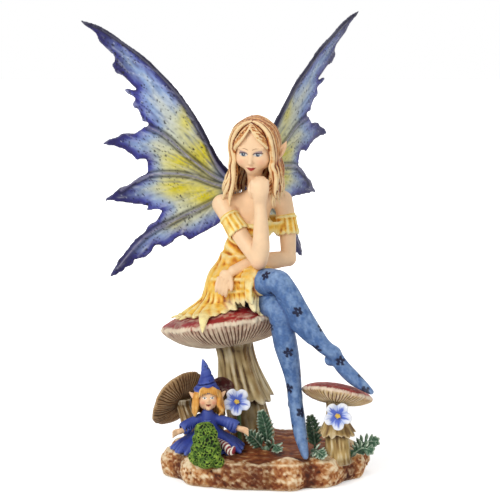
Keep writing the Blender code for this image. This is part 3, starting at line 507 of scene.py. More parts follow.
def makeSkin():
    clay = Clay((-27, -29, 74), (15, 9, 128), limbs["step"] * coarse)
    for centre, radii in (((4.5, -4.5, 25), (6.2, 5.2, 7)), ((7.5, -5.2, 34), (7.6, 6, 7.5)),
                          ((9.5, -4.8, 41), (8.2, 5, 5.6))):
        clay.ball(seat + centre, radii, torsoAxes, soft=2.5)
    for side in ((4.6, -10.2, 35.6), (11.6, -8.6, 35.6)):
        clay.ball(seat + side, (3.5, 3.2, 3.5), soft=1.6)
    clay.limb(fromSeat([(-2.6, -7.6, 45.2, 3.7), (4, -6.4, 46.2, 3.4), (10, -4.6, 47.2, 3.6),
        (16, -2.6, 46.6, 3.4),
                        (21.8, 0.2, 45.4, 3.7)]), 4, soft=2.5)
    clay.limb([(-4.6, -3.4, 114, 4.6), (-4.4, -5.6, 118.5, 3.5), (-4.2, -7.4, 124, 3.02)], 5, soft=2.2)
    for name in ("rightUpper", "rightFore", "leftUpper", "leftFore"):
        clay.limb(fromSeat(limbs[name]), 6, soft=1.4)
    # the bent hand that her chin rests on
    clay.limb(fromSeat([(12.8, -19.6, 46.6, 2.35), (12.8, -20.6, 50.2, 3), (12.8, -20.4, 54.2, 3.75),
        (12.9, -18.6, 56.6, 2.9)]), 6, soft=0.8,
              flat=((0.1, 1, 0.25), 0.78))
    for i in range(4):
        x = 9.9 + 1.85 * i
        high = 56.9 - 0.22 * (i - 1.5)**2
        finger(clay, [(x, -21.6, high - 3.4, 0.9), (x, -21.0, high, 1.12), (x + 0.1, -18.6, high + 0.2, 1.05),
            (x + 0.2, -16.8, high - 2.4, 0.9)], soft=0.5)
    finger(clay, [(9.6, -18.6, 50.6, 1.1), (8.7, -19.6, 53.4, 1.1), (9.2, -18.8, 56, 0.85)], soft=0.5)
    # the hand that hangs over her thigh
    clay.ball(seat + [-1.2, -18.4, 16.6], (2.6, 1.7, 3.2), unit([[1, 0.2, 0.6], [0.1, 1, 0], [-0.6, 0, 1]]),
        soft=1.2)
    for i in range(4):
        x = -0.2 - 1.35 * i
        finger(clay, [(x, -19.4, 14.8 + 0.5 * i, 0.85), (x - 0.8, -20.2, 11.6 + 0.5 * i, 0.85),
                      (x - 1.1, -19.8, 8.6 + 0.7 * i, 0.62)])
    finger(clay, [(0.6, -19.4, 17, 0.9), (1.2, -20.2, 13.6, 0.85), (0.9, -20.2, 11.4, 0.65)])
    points, faces = clay.surface()
    makePiece("fairySkin", points, faces, paintSkin, resins["skin"], ["fairy"])


# fairy: hair

hair = {"step": 0.33, "pale": "F0D2A0", "gold": "D39656", "copper": "A4521F", "deep": "561A10", "locks": 84,
    "seed": 4}


def hairLine(turn, start, wide, length, spread, wave, twist):
    # a lock from the parting, over the skull and down; turn 0 is the face, 90 degrees her left side
    out = headFront * math.cos(turn) + headSide * math.sin(turn)
    wide = math.hypot(9.0 * math.sin(turn), 9.6 * math.cos(turn)) + wide
    at = head["centre"]
    across = np.cross(out, headUp)
    rows = [at + headUp * 11.7 + headFront * start + out * 0.6,
            at + headUp * 10.8 + headFront * start * 0.7 + out * wide * 0.45,
            at + headUp * 7.4 + headFront * start * 0.3 + out * wide * 0.84,
            at + headUp * 2.0 + out * wide * 1.02 + across * 0.3 * wave,
            at - headUp * 3.6 + out * wide * 0.99 - across * 0.5 * wave]
    drop = length - 3.6
    for i in range(1, 7):
        share = i / 6
        sway = wave * math.sin(2.4 * share * math.pi + twist) * (0.5 + 0.8 * share)
        push = 0.45 * wave * math.cos(2.4 * share * math.pi + twist)
        rows.append(at - headUp * 3.6 + out * (wide * (1.0 + spread * share**1.4) + push) + across * sway
                    + np.array([0, 0, -1]) * drop * share)
    return rows


def makeHair():
    rng = np.random.default_rng(hair["seed"])
    clay = Clay(head["centre"] - [22, 18, 29], head["centre"] + [19, 20, 15], hair["step"] * coarse)
    clay.ball(inHead(0, -1.4, 3.0), (9, 9.4, 9.5), headAxes)
    # the face stays open
    clay.ball(inHead(0, 8.5, -3.0), (6.8, 7.5, 10.2), headAxes, soft=0.5, cut=True)
    clay.ball(inHead(0, 2.0, -12.0), (6.5, 9, 8), headAxes, soft=0.5, cut=True)
    locks = []
    for i in range(hair["locks"]):
        share = (i + 0.5) / hair["locks"]
        turn = math.radians(54 + 252 * share) + rng.uniform(-0.02, 0.02)
        back = max(0.0, -math.cos(turn))
        side = abs(math.sin(turn))
        layer = rng.uniform(0, 1)
        length = 23.0 + rng.uniform(-5, 2.5) - 3.0 * (1 - back) * layer + 1.5 * back
        rows = hairLine(turn, 3.4 * math.cos(turn) + rng.uniform(-0.6, 0.6), 0.1 + 1.1 * layer, length,
                        0.1 + 0.3 * side * layer - 0.18 * back, rng.uniform(0.5, 1.5),
                        rng.uniform(0, 1.2) + 1.3 * turn)
        size = rng.uniform(0.72, 1.12)
        radii = np.interp(np.linspace(0, 1, len(rows)), (0, 0.15, 0.5, 0.8, 1),
            (0.5, 0.85, 1, 0.85, 0.12)) * size
        locks.append([(*p, r) for p, r in zip(rows, radii)])
    # the fringe sweeps from the parting over the brow to her right; a shorter one goes left
    for i in range(12):
        k = i / 11
        j = rng.uniform(-0.25, 0.25)
        rows = [inHead(-0.2, 5.2 + 2.6 * k, 11.5 - 1.1 * k),
            inHead(-2.6 - 0.2 * k, 7.0 + 1.7 * k + j, 9.0 - 2.3 * k),
                inHead(-5.6 + 0.1 * k, 6.3 + 1.4 * k - j, 5.0 - 1.7 * k),
                inHead(-7.9 + 0.5 * k, 4.0 + 1.5 * k, 0.4 - 0.4 * k),
                inHead(-8.5 + 0.3 * k + j, 3.0 + 0.6 * k, -4.8), inHead(-7.4 - 1.8 * k, 2.8, -10.0 - 1.6 * k),
                inHead(-8.2 - 3.6 * k - j, 2.6, -14.6 - 2.4 * k),
                inHead(-7.4 - 5.2 * k, 2.4, -19.0 - 2.6 * k)]
        radii = np.array([0.4, 0.72, 0.85, 0.85, 0.85, 0.75, 0.6, 0.12]) * (1.12 - 0.25 * k)
        locks.append([(*p, r) for p, r in zip(rows, radii)])
    for i in range(11):
        k = i / 10
        j = rng.uniform(-0.25, 0.25)
        rows = [inHead(0.2, 5.0 + 2.4 * k, 11.5 - 1.0 * k),
            inHead(3.1 - 0.2 * k, 7.0 + 1.3 * k + j, 8.5 - 1.7 * k),
                inHead(6.2 - 0.2 * k, 5.4 + 1.4 * k - j, 4.3 - 1.0 * k),
                inHead(8.1 - 0.3 * k, 3.6 + 1.0 * k, -0.4),
                inHead(8.0 + 0.5 * k + j, 3.2, -5.6), inHead(7.6 + 0.6 * k, 3.8, -10.5 - k),
                inHead(6.2 + 3.4 * k - j, 3.6, -16.0 - 2 * k),
                inHead(6.8 + 3.6 * k, 3.0, -20.5 - 2.5 * k)]
        radii = np.array([0.4, 0.7, 0.85, 0.85, 0.85, 0.75, 0.62, 0.12]) * (1.12 - 0.25 * k)
        locks.append([(*p, r) for p, r in zip(rows, radii)])
    for lock in locks:
        clay.limb(lock, 4, soft=0.05)
    points, faces = clay.surface()
    # each lock has its own load of paint
    paths = [smoothPath(lock, 3)[:, :3] for lock in locks]
    tree = KDTree(sum(len(path) for path in paths))
    owner = []
    for i, path in enumerate(paths):
        for spot in path:
            tree.insert(spot, len(owner))
            owner.append(i)
    tree.balance()
    nearest = np.array([owner[tree.find(spot)[1]] for spot in points])
    tones = rng.uniform(0, 1, len(locks))

    def paintHair(points, normals, hollow):
        tone = tones[nearest]
        fine = mottle(points * [1, 1, 0.15], 0.55, 5)
        share = 0.38 + 0.7 * (tone - 0.5) - 2.8 * hollow + 0.28 * fine
        paint = ramp(share, (0, hair["deep"]), (0.28, hair["copper"]), (0.55, hair["gold"]),
            (0.95, hair["pale"]))
        # hair low down and behind the head is painted darker, as shade
        under = rise(inHead(0, 0, -4)[2] - points[:, 2], 0, 8) * rise(-(points - head["centre"]) @ headFront,
            -2, 4)
        return over(paint, 0.35 * under, hair["deep"])

    makePiece("fairyHair", points, faces, paintHair, resins["hair"], ["fairy"])


# fairy: dress

dress = {"step": 0.52, "sun": "EFC14A", "deep": "D27C1C", "pale": "F5E3A0", "brown": "7C3A10", "folds": 13,
         "leaf": "F6EBC0", "orangeShade": "C8661A", "dark": "1C1210", "hemPoints": 30, "hemSeed": 7}
# height above the seat along the cap's tilt, middle x and y, and radius of the skirt
skirtRows = np.array([[26, 4.6, -4.6, 7.6], [22, 4, -4.2, 8.2], [16, 3, -3.6, 10], [9, 1.6, -2.6, 11.6],
                      [6.5, 0.8, -1.6, 12.4], [4.2, 0, -0.4, 14.2], [1.8, 0, 0, 17.4], [-0.6, 0, 0, 20.4],
                      [-2.6, 0, 0, 22.6], [-4.4, 0, 0, 24]])


capSlope = (0.158, -0.176)   # how much the large cap's top rises to the right, and to the back
capRim = 29.6                # mm, where a fold on the cap turns down


def capTilt(x, y):
    return capSlope[0] * (x - seat[0]) + capSlope[1] * (y - seat[1])


def capDrop(x, y):
    # how far the large cap's top lies under its middle, at a distance from the seat
    look = toadstools["largeToadstool"]
    share = np.hypot(x - seat[0], y - seat[1]) / look["radius"]
    return capTilt(x, y) + look["dome"] * (np.interp(share, (0, 0.33, 0.5, 0.66, 0.82, 0.93, 0.985, 1),
        (1, 0.98, 0.91, 0.8, 0.61, 0.4, 0.24, 0.1)) - 1)


def onCap(x, y, up, radius):
    # a row of a fold that lies on the cap, and turns down past its rim
    far = math.hypot(x - seat[0], y - seat[1])
    return (x, y, seat[2] + float(capDrop(x, y)) + up - 1.4 * max(0.0, far - capRim), radius)


def paintDress(points, normals, hollow):
    local = points - seat
    share = 0.58 - 1.25 * hollow + 0.16 * mottle(points * [1, 1, 0.4], 2.4, 3) + 0.1 * mottle(points, 0.8, 4)
    # faces that point up are painted lighter, as lit from above
    share = np.clip(share + 0.1 * normals[:, 2], 0, 1)
    paint = ramp(share, (0, dress["brown"]), (0.28, dress["deep"]), (0.6, dress["sun"]), (1, dress["pale"]))
    reach = np.hypot(local[:, 0], local[:, 1])
    hem = rise(reach, 19, 25) * rise(10 - local[:, 2], 0, 6)
    paint = over(paint, 0.45 * hem, dress["pale"])
    # painted shade round the waist
    waist = np.exp(-((local[:, 2] - 20) / 7)**2)
    paint = over(paint, 0.22 * waist, dress["deep"])
    # pale leaf points over the thigh, and painted shade on the underside
    leaf = rise(local[:, 0], 9, 15) * rise(21 - local[:, 2], 0, 4) * rise(-local[:, 1], 14, 18)
    edge = rise(11.2 + 0.27 * local[:, 0] - 3.6 - local[:, 2], 0, 2.5) * rise(local[:, 0], -3,
        0) * rise(-local[:, 1], 9, 12)
    paint = over(paint, 0.7 * np.maximum(leaf, edge), dress["leaf"])
    # warm painted shade round the waist and hip, on faces that do not point up
    orangeShade = np.exp(-((local[:, 2] - 19.5 + 0.35 * local[:, 0]) / 3.0)**2) * rise(6 - local[:, 0], 0, 6)
    paint = over(paint, 0.45 * orangeShade * rise(0.25 - normals[:, 2], 0, 0.5), dress["orangeShade"])
    paintedShade = rise(-normals[:, 2], 0.45, 0.9) * rise(12 - local[:, 2], 0, 4) * rise(local[:, 0], -8, 0)
    return over(paint, 0.9 * paintedShade, dress["dark"])


def makeDress():
    clay = Clay((-46, -33, 58), (16, 32, 114), dress["step"] * coarse)

    def skirt(x, y, z):
        high = z - seat[2]
        high = high - capTilt(x, y) * rise(12 - high, 0, 8)
        table = skirtRows[::-1]
        mid = [np.interp(high, table[:, 0], table[:, i]) for i in (1, 2, 3)]
        dx, dy = x - seat[0] - mid[0], y - seat[1] - mid[1]
        angle = np.arctan2(dy, dx)
        low = np.clip((22 - high) / 22, 0, 1)
        ahead = np.clip(np.cos(angle + math.radians(38)), 0, 1)**0.7
        fold = np.sin(dress["folds"] * angle + 1.4 * np.sin(2 * angle) + 0.1 * high)
        fine = np.sin(31 * angle + 2.0 * np.sin(3 * angle) - 0.2 * high)
        left = np.clip(-np.cos(angle + math.radians(-20)), 0, 1)
        reach = mid[2] * (1 - 0.34 * ahead * low - 0.13 * left * low) * (1 + 0.085 * low * fold + 0.022 * low
            * fine) + 0.3 * fold
        floor = capDrop(x, y) + seat[2] + 0.15
        return np.maximum((np.hypot(dx, dy) - reach) * 0.62, np.maximum(floor - z, high - 24))

    clay.press((-45, -32, 60), (15, 31, 96), skirt)
    # bodice
    for centre, radii in (((4.5, -4.5, 25.5), (7, 6, 7)), ((7.5, -5.2, 32.5), (8.5, 6.9, 6.6))):
        clay.ball(seat + centre, radii, torsoAxes, soft=1.6)
    for side in ((4.5, -10.6, 34.6), (11.6, -9, 34.6)):
        clay.ball(seat + side, (4.1, 3.7, 3.8), soft=1.4)
    clay.press((-28, -24, 104), (14, 10, 114), lambda x, y,
        z: seat[2] + 37.3 + 0.5 * np.sin(1.1 * x - 0.7 * y) - z + 0 * y, cut=True)
    # diagonal folds, drawn tight at the waist
    for i in range(4):
        rows = []
        for k in range(7):
            turn = math.radians(-172 + 24 * k + 5 * i)
            h = 21.0 + 3.6 * i - (1.9 - 0.2 * i) * k
            ring = np.interp(h, [8, 14, 18, 22, 26, 34], [11.2, 10.2, 8.9, 7.9, 7.4, 8.1])
            mid = np.interp(h, (12, 22, 34), (2.8, 4.4, 7.6)), np.interp(h, (12, 22, 34), (-3.4, -4.3, -5.4))
            rows.append((mid[0] + ring * math.cos(turn), mid[1] + 0.88 * ring * math.sin(turn), h,
                (0.1, 0.4, 0.6, 0.65, 0.5, 0.3, 0.1)[k]))
        clay.limb(fromSeat(rows), 4, soft=1.7)
    # turned-down ruffle along the neckline and round both arms
    ring = []
    for k in range(25):
        turn = 2 * math.pi * k / 24
        out = np.array([9.5 * math.cos(turn), 7.9 * math.sin(turn) - 0.9 * max(0, -math.sin(turn)),
            0]) @ torsoAxes
        ring.append((*(np.array([8.1, -5.5, 37.0 + 0.5 * math.sin(5 * turn)]) + out),
            0.95 + 0.25 * math.sin(7 * turn)))
    clay.limb(fromSeat(ring), 4, soft=0.5)
    for arm, first, last, flare in (("rightUpper", 0.33, 0.5, 0.9), ("leftUpper", 0.3, 0.55, 1.2)):
        path = smoothPath(fromSeat(limbs[arm]), 10)
        along = unit(path[-1][:3] - path[0][:3])
        one = unit(np.cross(along, [0.3, 1, 0.1]))
        two = np.cross(along, one)
        spots = [path[int(share * (len(path) - 1))] for share in (first, (first + last) / 2, last)]
        a, b, c = [(*s[:3], s[3] + grow) for s, grow in zip(spots, (0.25, 0.5, flare))]
        clay.limb([a, b, c], 3, soft=0.5)
        clay.limb([(*(np.array(c[:3]) + along * 0.9), c[3] - 0.5),
            (*(np.array(c[:3]) + along * 3.6), c[3] + 0.6)], 1, cut=True)
        for k in range(17):
            t = 2 * math.pi * k / 17 + 0.16 * math.sin(5 * k)
            out = one * math.cos(t) + two * math.sin(t)
            rows = [(*(np.array(s[:3]) + out * (s[3] - 0.1)), r) for s,
                r in zip((a, b, c), (0.24, 0.32 + 0.12 * math.sin(3 * k), 0.52))]
            rows.append((*(np.array(c[:3]) + out * (c[3] + 0.35) + along * (0.9 + 0.5 * math.sin(3 * k))),
                0.3))
            clay.limb(rows, 3, soft=0.7)
        band = [(*(np.array(a[:3]) + (one * math.cos(t) + two * math.sin(t)) * (a[3] + 0.15)),
            0.42 + 0.08 * math.sin(11 * t))
                for t in np.linspace(0, 2 * math.pi, 25)]
        clay.limb(band, 3, soft=0.35)
    # the ruffle runs on over the bust from sleeve to sleeve, and behind her back
    for path in ([(1, -13.6, 37.4), (4.4, -15, 36.8), (8.4, -13.4, 36.4), (12.4, -12.9, 36.2),
        (17.4, -8.6, 36), (22.6, -4.2, 36)],
                 [(-1.6, -6, 38.4), (1.5, 0.6, 37.6), (9, 3.2, 37.2), (17, 4.4, 37), (23, 3.6, 36.8)]):
        rows = smoothPath([(*p, 1.0) for p in path], 6)
        for k, row in enumerate(rows):
            drop = np.array([0.1 * math.sin(k), -0.5 if row[1] < 0 else 0.5, -3.0 - 0.7 * math.sin(1.7 * k)])
            clay.limb(fromSeat([(*(row[:3] + [0, 0, 0.6]), 0.75), (*(row[:3] + drop * 0.5), 0.85),
                (*(row[:3] + drop), 0.55)]), 2, soft=0.6)
        clay.limb(fromSeat([(*(row[:3] + [0, 0, 0.9]), 0.6 + 0.15 * math.sin(2 * k)) for k,
            row in enumerate(rows)]), 1, soft=0.5)
    # the skirt over the crossed thigh, ending in leaf points
    hip, kneeEnd = np.array([-1.5, -4, 10.8]), np.array([14, -21.2, 15])
    along = unit(kneeEnd - hip)
    top = unit(np.array([0, 0, 1]) - along * along[2])
    forward = np.cross(along, top)
    clay.limb(fromSeat([(*hip, 8.4), (5, -11, 12.8, 7.6), (*kneeEnd, 6.1)]), 6, soft=2.0)
    for i in range(12):
        turn = math.radians(-40 + 19 * i)
        out = top * math.cos(turn) + forward * math.sin(turn)
        start = kneeEnd + out * 6.5 - along * (0.15 * i + 0.8)
        tip = start + along * (3.4 - 0.1 * i) + out * 0.9 + [0, -0.5, -2.8 - 0.3 * i - 1.4 * (i % 2)]
        rows = [(*(start - along * 3.5 + out * 0.2), 1.4), (*start, 2.0),
            (*(start * 0.5 + tip * 0.5 + out * 0.7), 1.9),
                (*(start * 0.15 + tip * 0.85 + out * 0.4), 1.0), (*tip, 0.25)]
        clay.limb(fromSeat(rows), 4, soft=0.2, flat=(out + [0, -0.2, 0.1], 0.42))
    # and along its lower edge
    for i in range(8):
        share = 0.1 + 0.84 * i / 7
        middle, wide = hip + (kneeEnd - hip) * share, 8.4 - 2.3 * share
        start = middle + (0.8 * forward - 0.55 * top) * wide
        tip = start + [0.5, -0.5, -4.6 - 1.4 * (i % 2)]
        rows = [(*(middle + (0.95 * forward - 0.05 * top) * wide), 1.2), (*(start + forward * 0.4), 1.9),
            (*(start * 0.5 + tip * 0.5 + forward * 0.5), 1.6),
                (*(start * 0.15 + tip * 0.85), 0.8), (*tip, 0.2)]
        clay.limb(fromSeat(rows), 4, soft=0.3, flat=(forward, 0.42))
    # folds drawn from the waist over the thigh
    for i in range(4):
        turn = math.radians(-10 + 41 * i)
        out = top * math.cos(turn) + forward * math.sin(turn)
        rows = [(*(hip + out * 8.3 + along * 1.0), 0.5), (*(hip * 0.5 + kneeEnd * 0.5 + out * 7.4), 0.6),
            (*(kneeEnd + out * 6.4 - along * 2), 0.4)]
        clay.limb(fromSeat(rows), 4, soft=1.0)
    # ragged hem, lying over the cap
    rng = np.random.default_rng(dress["hemSeed"])
    count = dress["hemPoints"]
    for i in range(count):
        angle = math.radians(-96 - 262 * i / (count - 1) + rng.uniform(-2, 2))
        ahead = max(0.0, math.cos(angle + math.radians(38)))**0.7
        left = max(0.0, -math.cos(angle - math.radians(20)))
        reach = 23.2 * (1 - 0.34 * ahead - 0.13 * left)
        out = np.array([math.cos(angle), math.sin(angle)])
        length = rng.uniform(1.8, 3.6) + 1.4 * (i % 3 == 0)
        rows = []
        for k, r in ((-9, 1.5), (-4, 1.9), (0, 1.7), (length * 0.6, 1.0), (length, 0.3)):
            x, y = seat[0] + out[0] * (reach + k), seat[1] + out[1] * (reach + k)
            far = np.hypot(x - seat[0], y - seat[1])
            up = 1.1 * (k > 0) * (i % 2) + 0.5
            rows.append((x, y, seat[2] + capDrop(x, y) + up + 0.1 * max(0, -k) - max(0, far - 28.3) * 0.8, r))
        clay.limb(rows, 3, soft=0.5, flat=((0, 0, 1), 0.45))
    # long folds that fan out over the cap in front, and the point that hangs over the rim
    for top, spots in (((-21, -8, 79), [(-22.6, -11, 2.8, 2), (-24, -15, 1.3, 2.6), (-24.9, -19, 1.3, 2.7),
        (-25.3, -22.4, 2, 2.3),
                                              (-25.6, -25.4, 2.4, 1.7), (-25.8, -28.2, 1.6, 0.3)]),
                       ((-19.6, -9.4, 79), [(-20.4, -13, 2.4, 2.1), (-20.8, -16.6, 1, 2.5),
                           (-21, -19.6, 0.8, 1.7), (-21, -21.8, 0.9, 0.3)]),
                       ((-18, -10, 79), [(-17.8, -13.2, 2.4, 2), (-17.4, -16.2, 1, 2.2),
                           (-17, -18.6, 0.7, 1.4), (-16.6, -20.6, 0.8, 0.3)]),
                       ((-16.4, -10.2, 79), [(-15, -13.2, 2.8, 1.9), (-13.6, -15.8, 1.2, 1.9),
                           (-12.6, -17.8, 0.9, 1.2), (-11.8, -19.4, 1, 0.3)]),
                       ((-22.4, -6, 79), [(-24.4, -8.8, 3, 2.2), (-26.6, -12, 1.3, 2.6), (-28.4, -15, 1, 1.9),
                           (-29.8, -17.4, 1, 0.3)]),
                       ((-23.4, -3.4, 79), [(-26, -4.8, 3.2, 2.2), (-29, -7, 1.7, 2.5),
                           (-31.4, -9.2, 1.3, 1.8), (-33.4, -11.2, 1.4, 0.3)]),
                       ((-24, -0.4, 79), [(-27, -0.8, 3.6, 2.2), (-30.4, -1.8, 2.1, 2.4),
                           (-33.4, -3, 1.7, 1.7), (-35.8, -4.2, 1.9, 0.3)])):
        rows = [onCap(*spot) for spot in spots]
        clay.limb([(*top, 1.0), (*rows[0][:3], 1.1), (*rows[1][:3], 0.9)], 5, soft=1.6)
        clay.limb(rows, 4, soft=1.3, flat=((0, -0.1, 1), 0.42))
    points, faces = clay.surface()
    makePiece("fairyDress", points, faces, paintDress, resins["dress"], ["fairy"])


# fairy: stockings

stockings = {
    "step": 0.5, "blue": "4C6C9E", "deep": "25406C", "pale": "93AED0", "motif": "0A1030",
    "motifGap": 5.6, "motifRadius": 2.4, "shade": "141018",
    "right": [(-2, -3, 10, 7), (9, -15.5, 13.2, 6.3), (19, -27.6, 16.6, 5.2), (23.2, -30, 13.4, 4.9),
              (28, -31.4, 6, 4.5), (33.4, -32.4, -2.4, 4.15), (38.6, -33.2, -8.8, 3.25),
              (43.2, -33.5, -12.2, 2.85)],
    "left": [(6, 0, 8, 7), (14, -17, 6.5, 6), (20, -27.2, 5, 4.9), (22.2, -27.4, -3, 4.7),
             (24.4, -26.2, -14, 4.5), (26.4, -25.4, -24, 3.5), (27.4, -25.8, -32.6, 2.9)],
    "rightFoot": [(43, -32.6, -12, 2.7), (46.4, -32.8, -17.6, 3), (51.2, -33.4, -22.6, 2.9),
        (55.4, -34.6, -25.8, 2.1),
                  (58.4, -35.8, -27.9, 1.2)],
    "leftFoot": [(27.4, -25.8, -32.6, 2.8), (28.4, -28, -40.4, 3), (29.6, -31.4, -47.4, 2.7),
        (31, -34.4, -53.2, 1.9),
                 (31.6, -35.6, -55.6, 1.3)],
}


def paintStockings(points, normals, hollow):
    # faces that point up are painted lighter, as lit from above
    share = np.clip(0.55 - 0.3 * hollow + 0.2 * mottle(points * [1, 1, 0.5], 1.5, 8) + 0.14 * normals[:, 2]
                    + 0.12 * mottle(points, 0.6, 9), 0, 1)
    paint = ramp(share, (0, stockings["deep"]), (0.5, stockings["blue"]), (1, stockings["pale"]))
    for path in (smoothPath(fromSeat(stockings["right"]), 8),
        smoothPath(fromSeat(stockings["left"] + stockings["leftFoot"][1:]), 8),
                 smoothPath(fromSeat(stockings["rightFoot"]), 8)):
        length = lengthsAlong(path)
        for i in range(int(length[-1] / stockings["motifGap"])):
            at = 4 + stockings["motifGap"] * i
            spot = spotAlong(path, length, at)
            along = unit((spotAlong(path, length, at + 1) - spot)[:3])
            one = unit(np.cross(along, [0, 1, 0.2]))
            two = np.cross(along, one)
            turn = 2.4 * i + 1.1
            out = one * math.cos(turn) + two * math.sin(turn)
            centre = spot[:3] + out * spot[3]
            across = np.cross(along, out)
            local = points - centre
            near = np.einsum("ij,ij->i", local, local) < 12
            u, v = local[near] @ along, local[near] @ across
            r, theta = np.hypot(u, v), np.arctan2(v, u)
            petal = stockings["motifRadius"] * (0.36 + 0.64 * np.abs(np.cos(2.5 * theta + i))**0.6)
            mask = rise(petal - r, 0.0, 0.22) * rise(r, 0.16, 0.3)
            mask = mask * (normals[near] @ out > 0.2)
            paint[near] = over(paint[near], mask, stockings["motif"])
    # the dark shade where the skirt meets the thighs
    local = points - seat
    paint = over(paint, 0.95 * rise(15.5 - local[:, 0], 0, 4) * rise(12.5 - local[:, 2], 0, 3)
        * rise(local[:, 2] + 3, 0, 5), stockings["shade"])
    return paint


def makeStockings():
    clay = Clay((-26, -44, 11), (48, 10, 94), stockings["step"] * coarse)
    for name in ("left", "right"):
        clay.limb(fromSeat(stockings[name]), 7, soft=0.0)
    clay.limb(fromSeat(stockings["rightFoot"]), 6, soft=1.2)
    clay.limb(fromSeat(stockings["leftFoot"]), 6, soft=1.2)
    # knee caps, calves and heels
    clay.ball(seat + [20.4, -29.4, 17], (4.2, 3.8, 4.4), soft=1.6)
    clay.ball(seat + [21, -29.2, 2.6], (3.8, 3.6, 4.4), soft=1.6)
    clay.limb(fromSeat([(24, -28.8, 8.5, 3.6), (29, -30.4, 0, 3.9), (33.6, -31.4, -6, 2.6)]), 5, soft=1.5)
    clay.limb(fromSeat([(21, -25.6, -4, 3.4), (22.6, -24, -12, 3.7), (25.2, -23.6, -20, 2.6)]), 5, soft=1.5)
    clay.ball(seat + [41.6, -31.4, -15.4], (2.3, 2.4, 2.6), soft=1.4)
    clay.ball(seat + [26.6, -23.4, -36.2], (2.2, 2.6, 3), soft=1.4)
    # creases behind the knees
    for rows in ([(17.5, -30.5, 9.8, 0.35), (21.5, -33, 10.4, 0.35), (25.6, -32.4, 9.2, 0.3)],
                 [(16.8, -28.6, -1.6, 0.3), (20.5, -31.4, -1, 0.35), (24.4, -30.4, -2, 0.3)]):
        clay.limb(fromSeat(rows), 4, soft=0.7, cut=True)
    points, faces = clay.surface()
    makePiece("fairyStockings", points, faces, paintStockings, resins["stockings"], ["fairy"])


# wings, made flat in u (outwards), v (upwards) and w (forwards), then set on her back

# the near-black paints both the painted shade beside the ribs and the spattered specks
wings = {"step": 0.5, "thick": 0.62, "root": "D2C40C", "cream": "C6C89C", "pale": "8FA8D0",
    "violet": "3F4496",
         "indigo": "191344", "rib": "64607A", "ribShadeAndSpecks": "0E0A18", "seed": 31,
         "deep": "2A2468", "mist": "7A8AC0", "haze": "C2CAC8", "tip": "1C1654", "dim": "5A607C",
         "light": "E6E9EA",
         "ribHighlight": "C9C6D8", "vein": "DCE0EA", "lead": "16112E", "fleck": "DDE4F2"}

wingOutline = np.array([
    (-3, 6.5), (1.1, 11.5), (4.8, 18.1), (9.1, 26.4), (14.4, 34.6), (19.8, 41.7), (25.2, 47.2), (30.5, 52.5),
    (36, 56.8), (42.3, 61.2), (46.6, 64.2), (52, 67.2), (58.9, 69.1), (57.9, 67.5), (52.5, 63.1),
    (51.5, 59.8),
    (46.6, 56), (45, 52.7), (46.1, 50.5), (45, 47.7), (41.2, 45.6), (38.6, 42.3), (36.4, 40.6), (40.7, 40.4),
    (39.9, 38.4), (37, 36.8), (38, 34), (35.4, 31.3), (33.2, 27.2), (31.3, 25.5), (34.9, 23.2), (36.5, 21.7),
    (40.3, 21.7), (44, 20.5), (51.5, 17), (48.1, 16.3), (44, 15.6), (41.2, 14.7), (39, 12.6), (36.7, 10.9),
    (33.1, 10.4), (31.9, 9.3), (31.9, 5.6), (34.2, 3.7), (39, 0.4), (43.5, -1.9), (49.7, -7), (46.2, -7.4),
    (42.2, -7.7), (36.2, -8.9), (32.1, -9.3), (31.9, -11.2), (25.8, -11.2), (28.1, -14.9), (32.1, -18.7),
    (36.2, -22.9), (40.3, -28), (44.4, -33.1), (48.1, -40.3), (44.9, -39.2), (42.2, -37.3), (38.1, -34.5),
    (37.2, -32.7), (34.4, -32.2), (30.8, -29.8), (29.4, -27.5), (27.1, -26.4), (24.4, -26.8), (18.5, -22.6),
    (16.2, -22.4), (14.2, -23.8), (10.8, -21.9), (5.7, -19.1), (0.5, -15.5), (-4, -8.6), (-7, -3), (-7, 2.5)])
wingRibs = [
    [(-5, 1), (1.6, 8.2), (8, 21.5), (18, 37.8), (34.5, 54.5), (50, 65.2)],
    [(-5, 0.5), (4, 4.5), (14.5, 12.5), (24, 21), (31, 24.6)],
    [(-5, -0.5), (2, 0.4), (12, 3.8), (22, 5), (33, 3.4), (43, -2.6)],
    [(-5, -2), (8, -9), (20, -15), (33, -22.5), (45, -36.5)]]
# faint veins that fork from the ribs
wingVeins = [
    [(12, 28), (22, 34), (31, 39)], [(18, 38), (29, 44), (40, 48)], [(27, 48), (38, 53), (46, 58)],
    [(6, 17), (16, 24), (28, 30)],
    [(14, 12), (24, 15), (38, 19)], [(10, 4), (20, 9), (31, 11)], [(20, 5), (28, 5), (36, 1)],
    [(12, 3), (22, -1), (34, -5)],
    [(4, -1), (14, -6), (26, -9)], [(8, -9), (15, -15), (17, -21)], [(20, -15), (28, -22), (36, -31)],
    [(3, -7), (7, -13), (10, -20)]]
# yellow patches, as middle u and v, reach in each, and strength
wingPatches = [(7.5, 14, 6, 10, 1), (14.8, 29, 4.2, 8, 0.85), (17, 10.5, 9, 4.8, 0.95),
    (7.4, -4.2, 7.5, 5.5, 1),
               (19, -1, 8, 4.4, 1), (20, -16.5, 5.5, 3.6, 0.5), (28, 15, 4, 3, 0.25)]
# dark tips, as middle u and v, and reach
wingTips = [(56, 67, 15), (49.5, 17, 9.5), (47, -5.5, 10.5), (45, -36.5, 12), (45, 48, 6)]


def toPolygon(u, v, corners, closed=True):
    # distance to a run of straight lines, negative inside where it is closed
    near, inside = np.full(np.shape(u), 1e9), np.zeros(np.shape(u), bool)
    runs = list(zip(corners, np.roll(corners, -1, 0))) if closed else list(zip(corners, corners[1:]))
    for (au, av), (bu, bv) in runs:
        du, dv = bu - au, bv - av
        t = np.clip(((u - au) * du + (v - av) * dv) / (du * du + dv * dv + 1e-9), 0, 1)
        near = np.minimum(near, (u - au - t * du)**2 + (v - av - t * dv)**2)
        if closed:
            crossing = (av > v) != (bv > v)
            inside ^= crossing & (u < (v - av) * du / (dv if dv else 1e-9) + au)
    return np.where(inside, -1, 1) * np.sqrt(near)


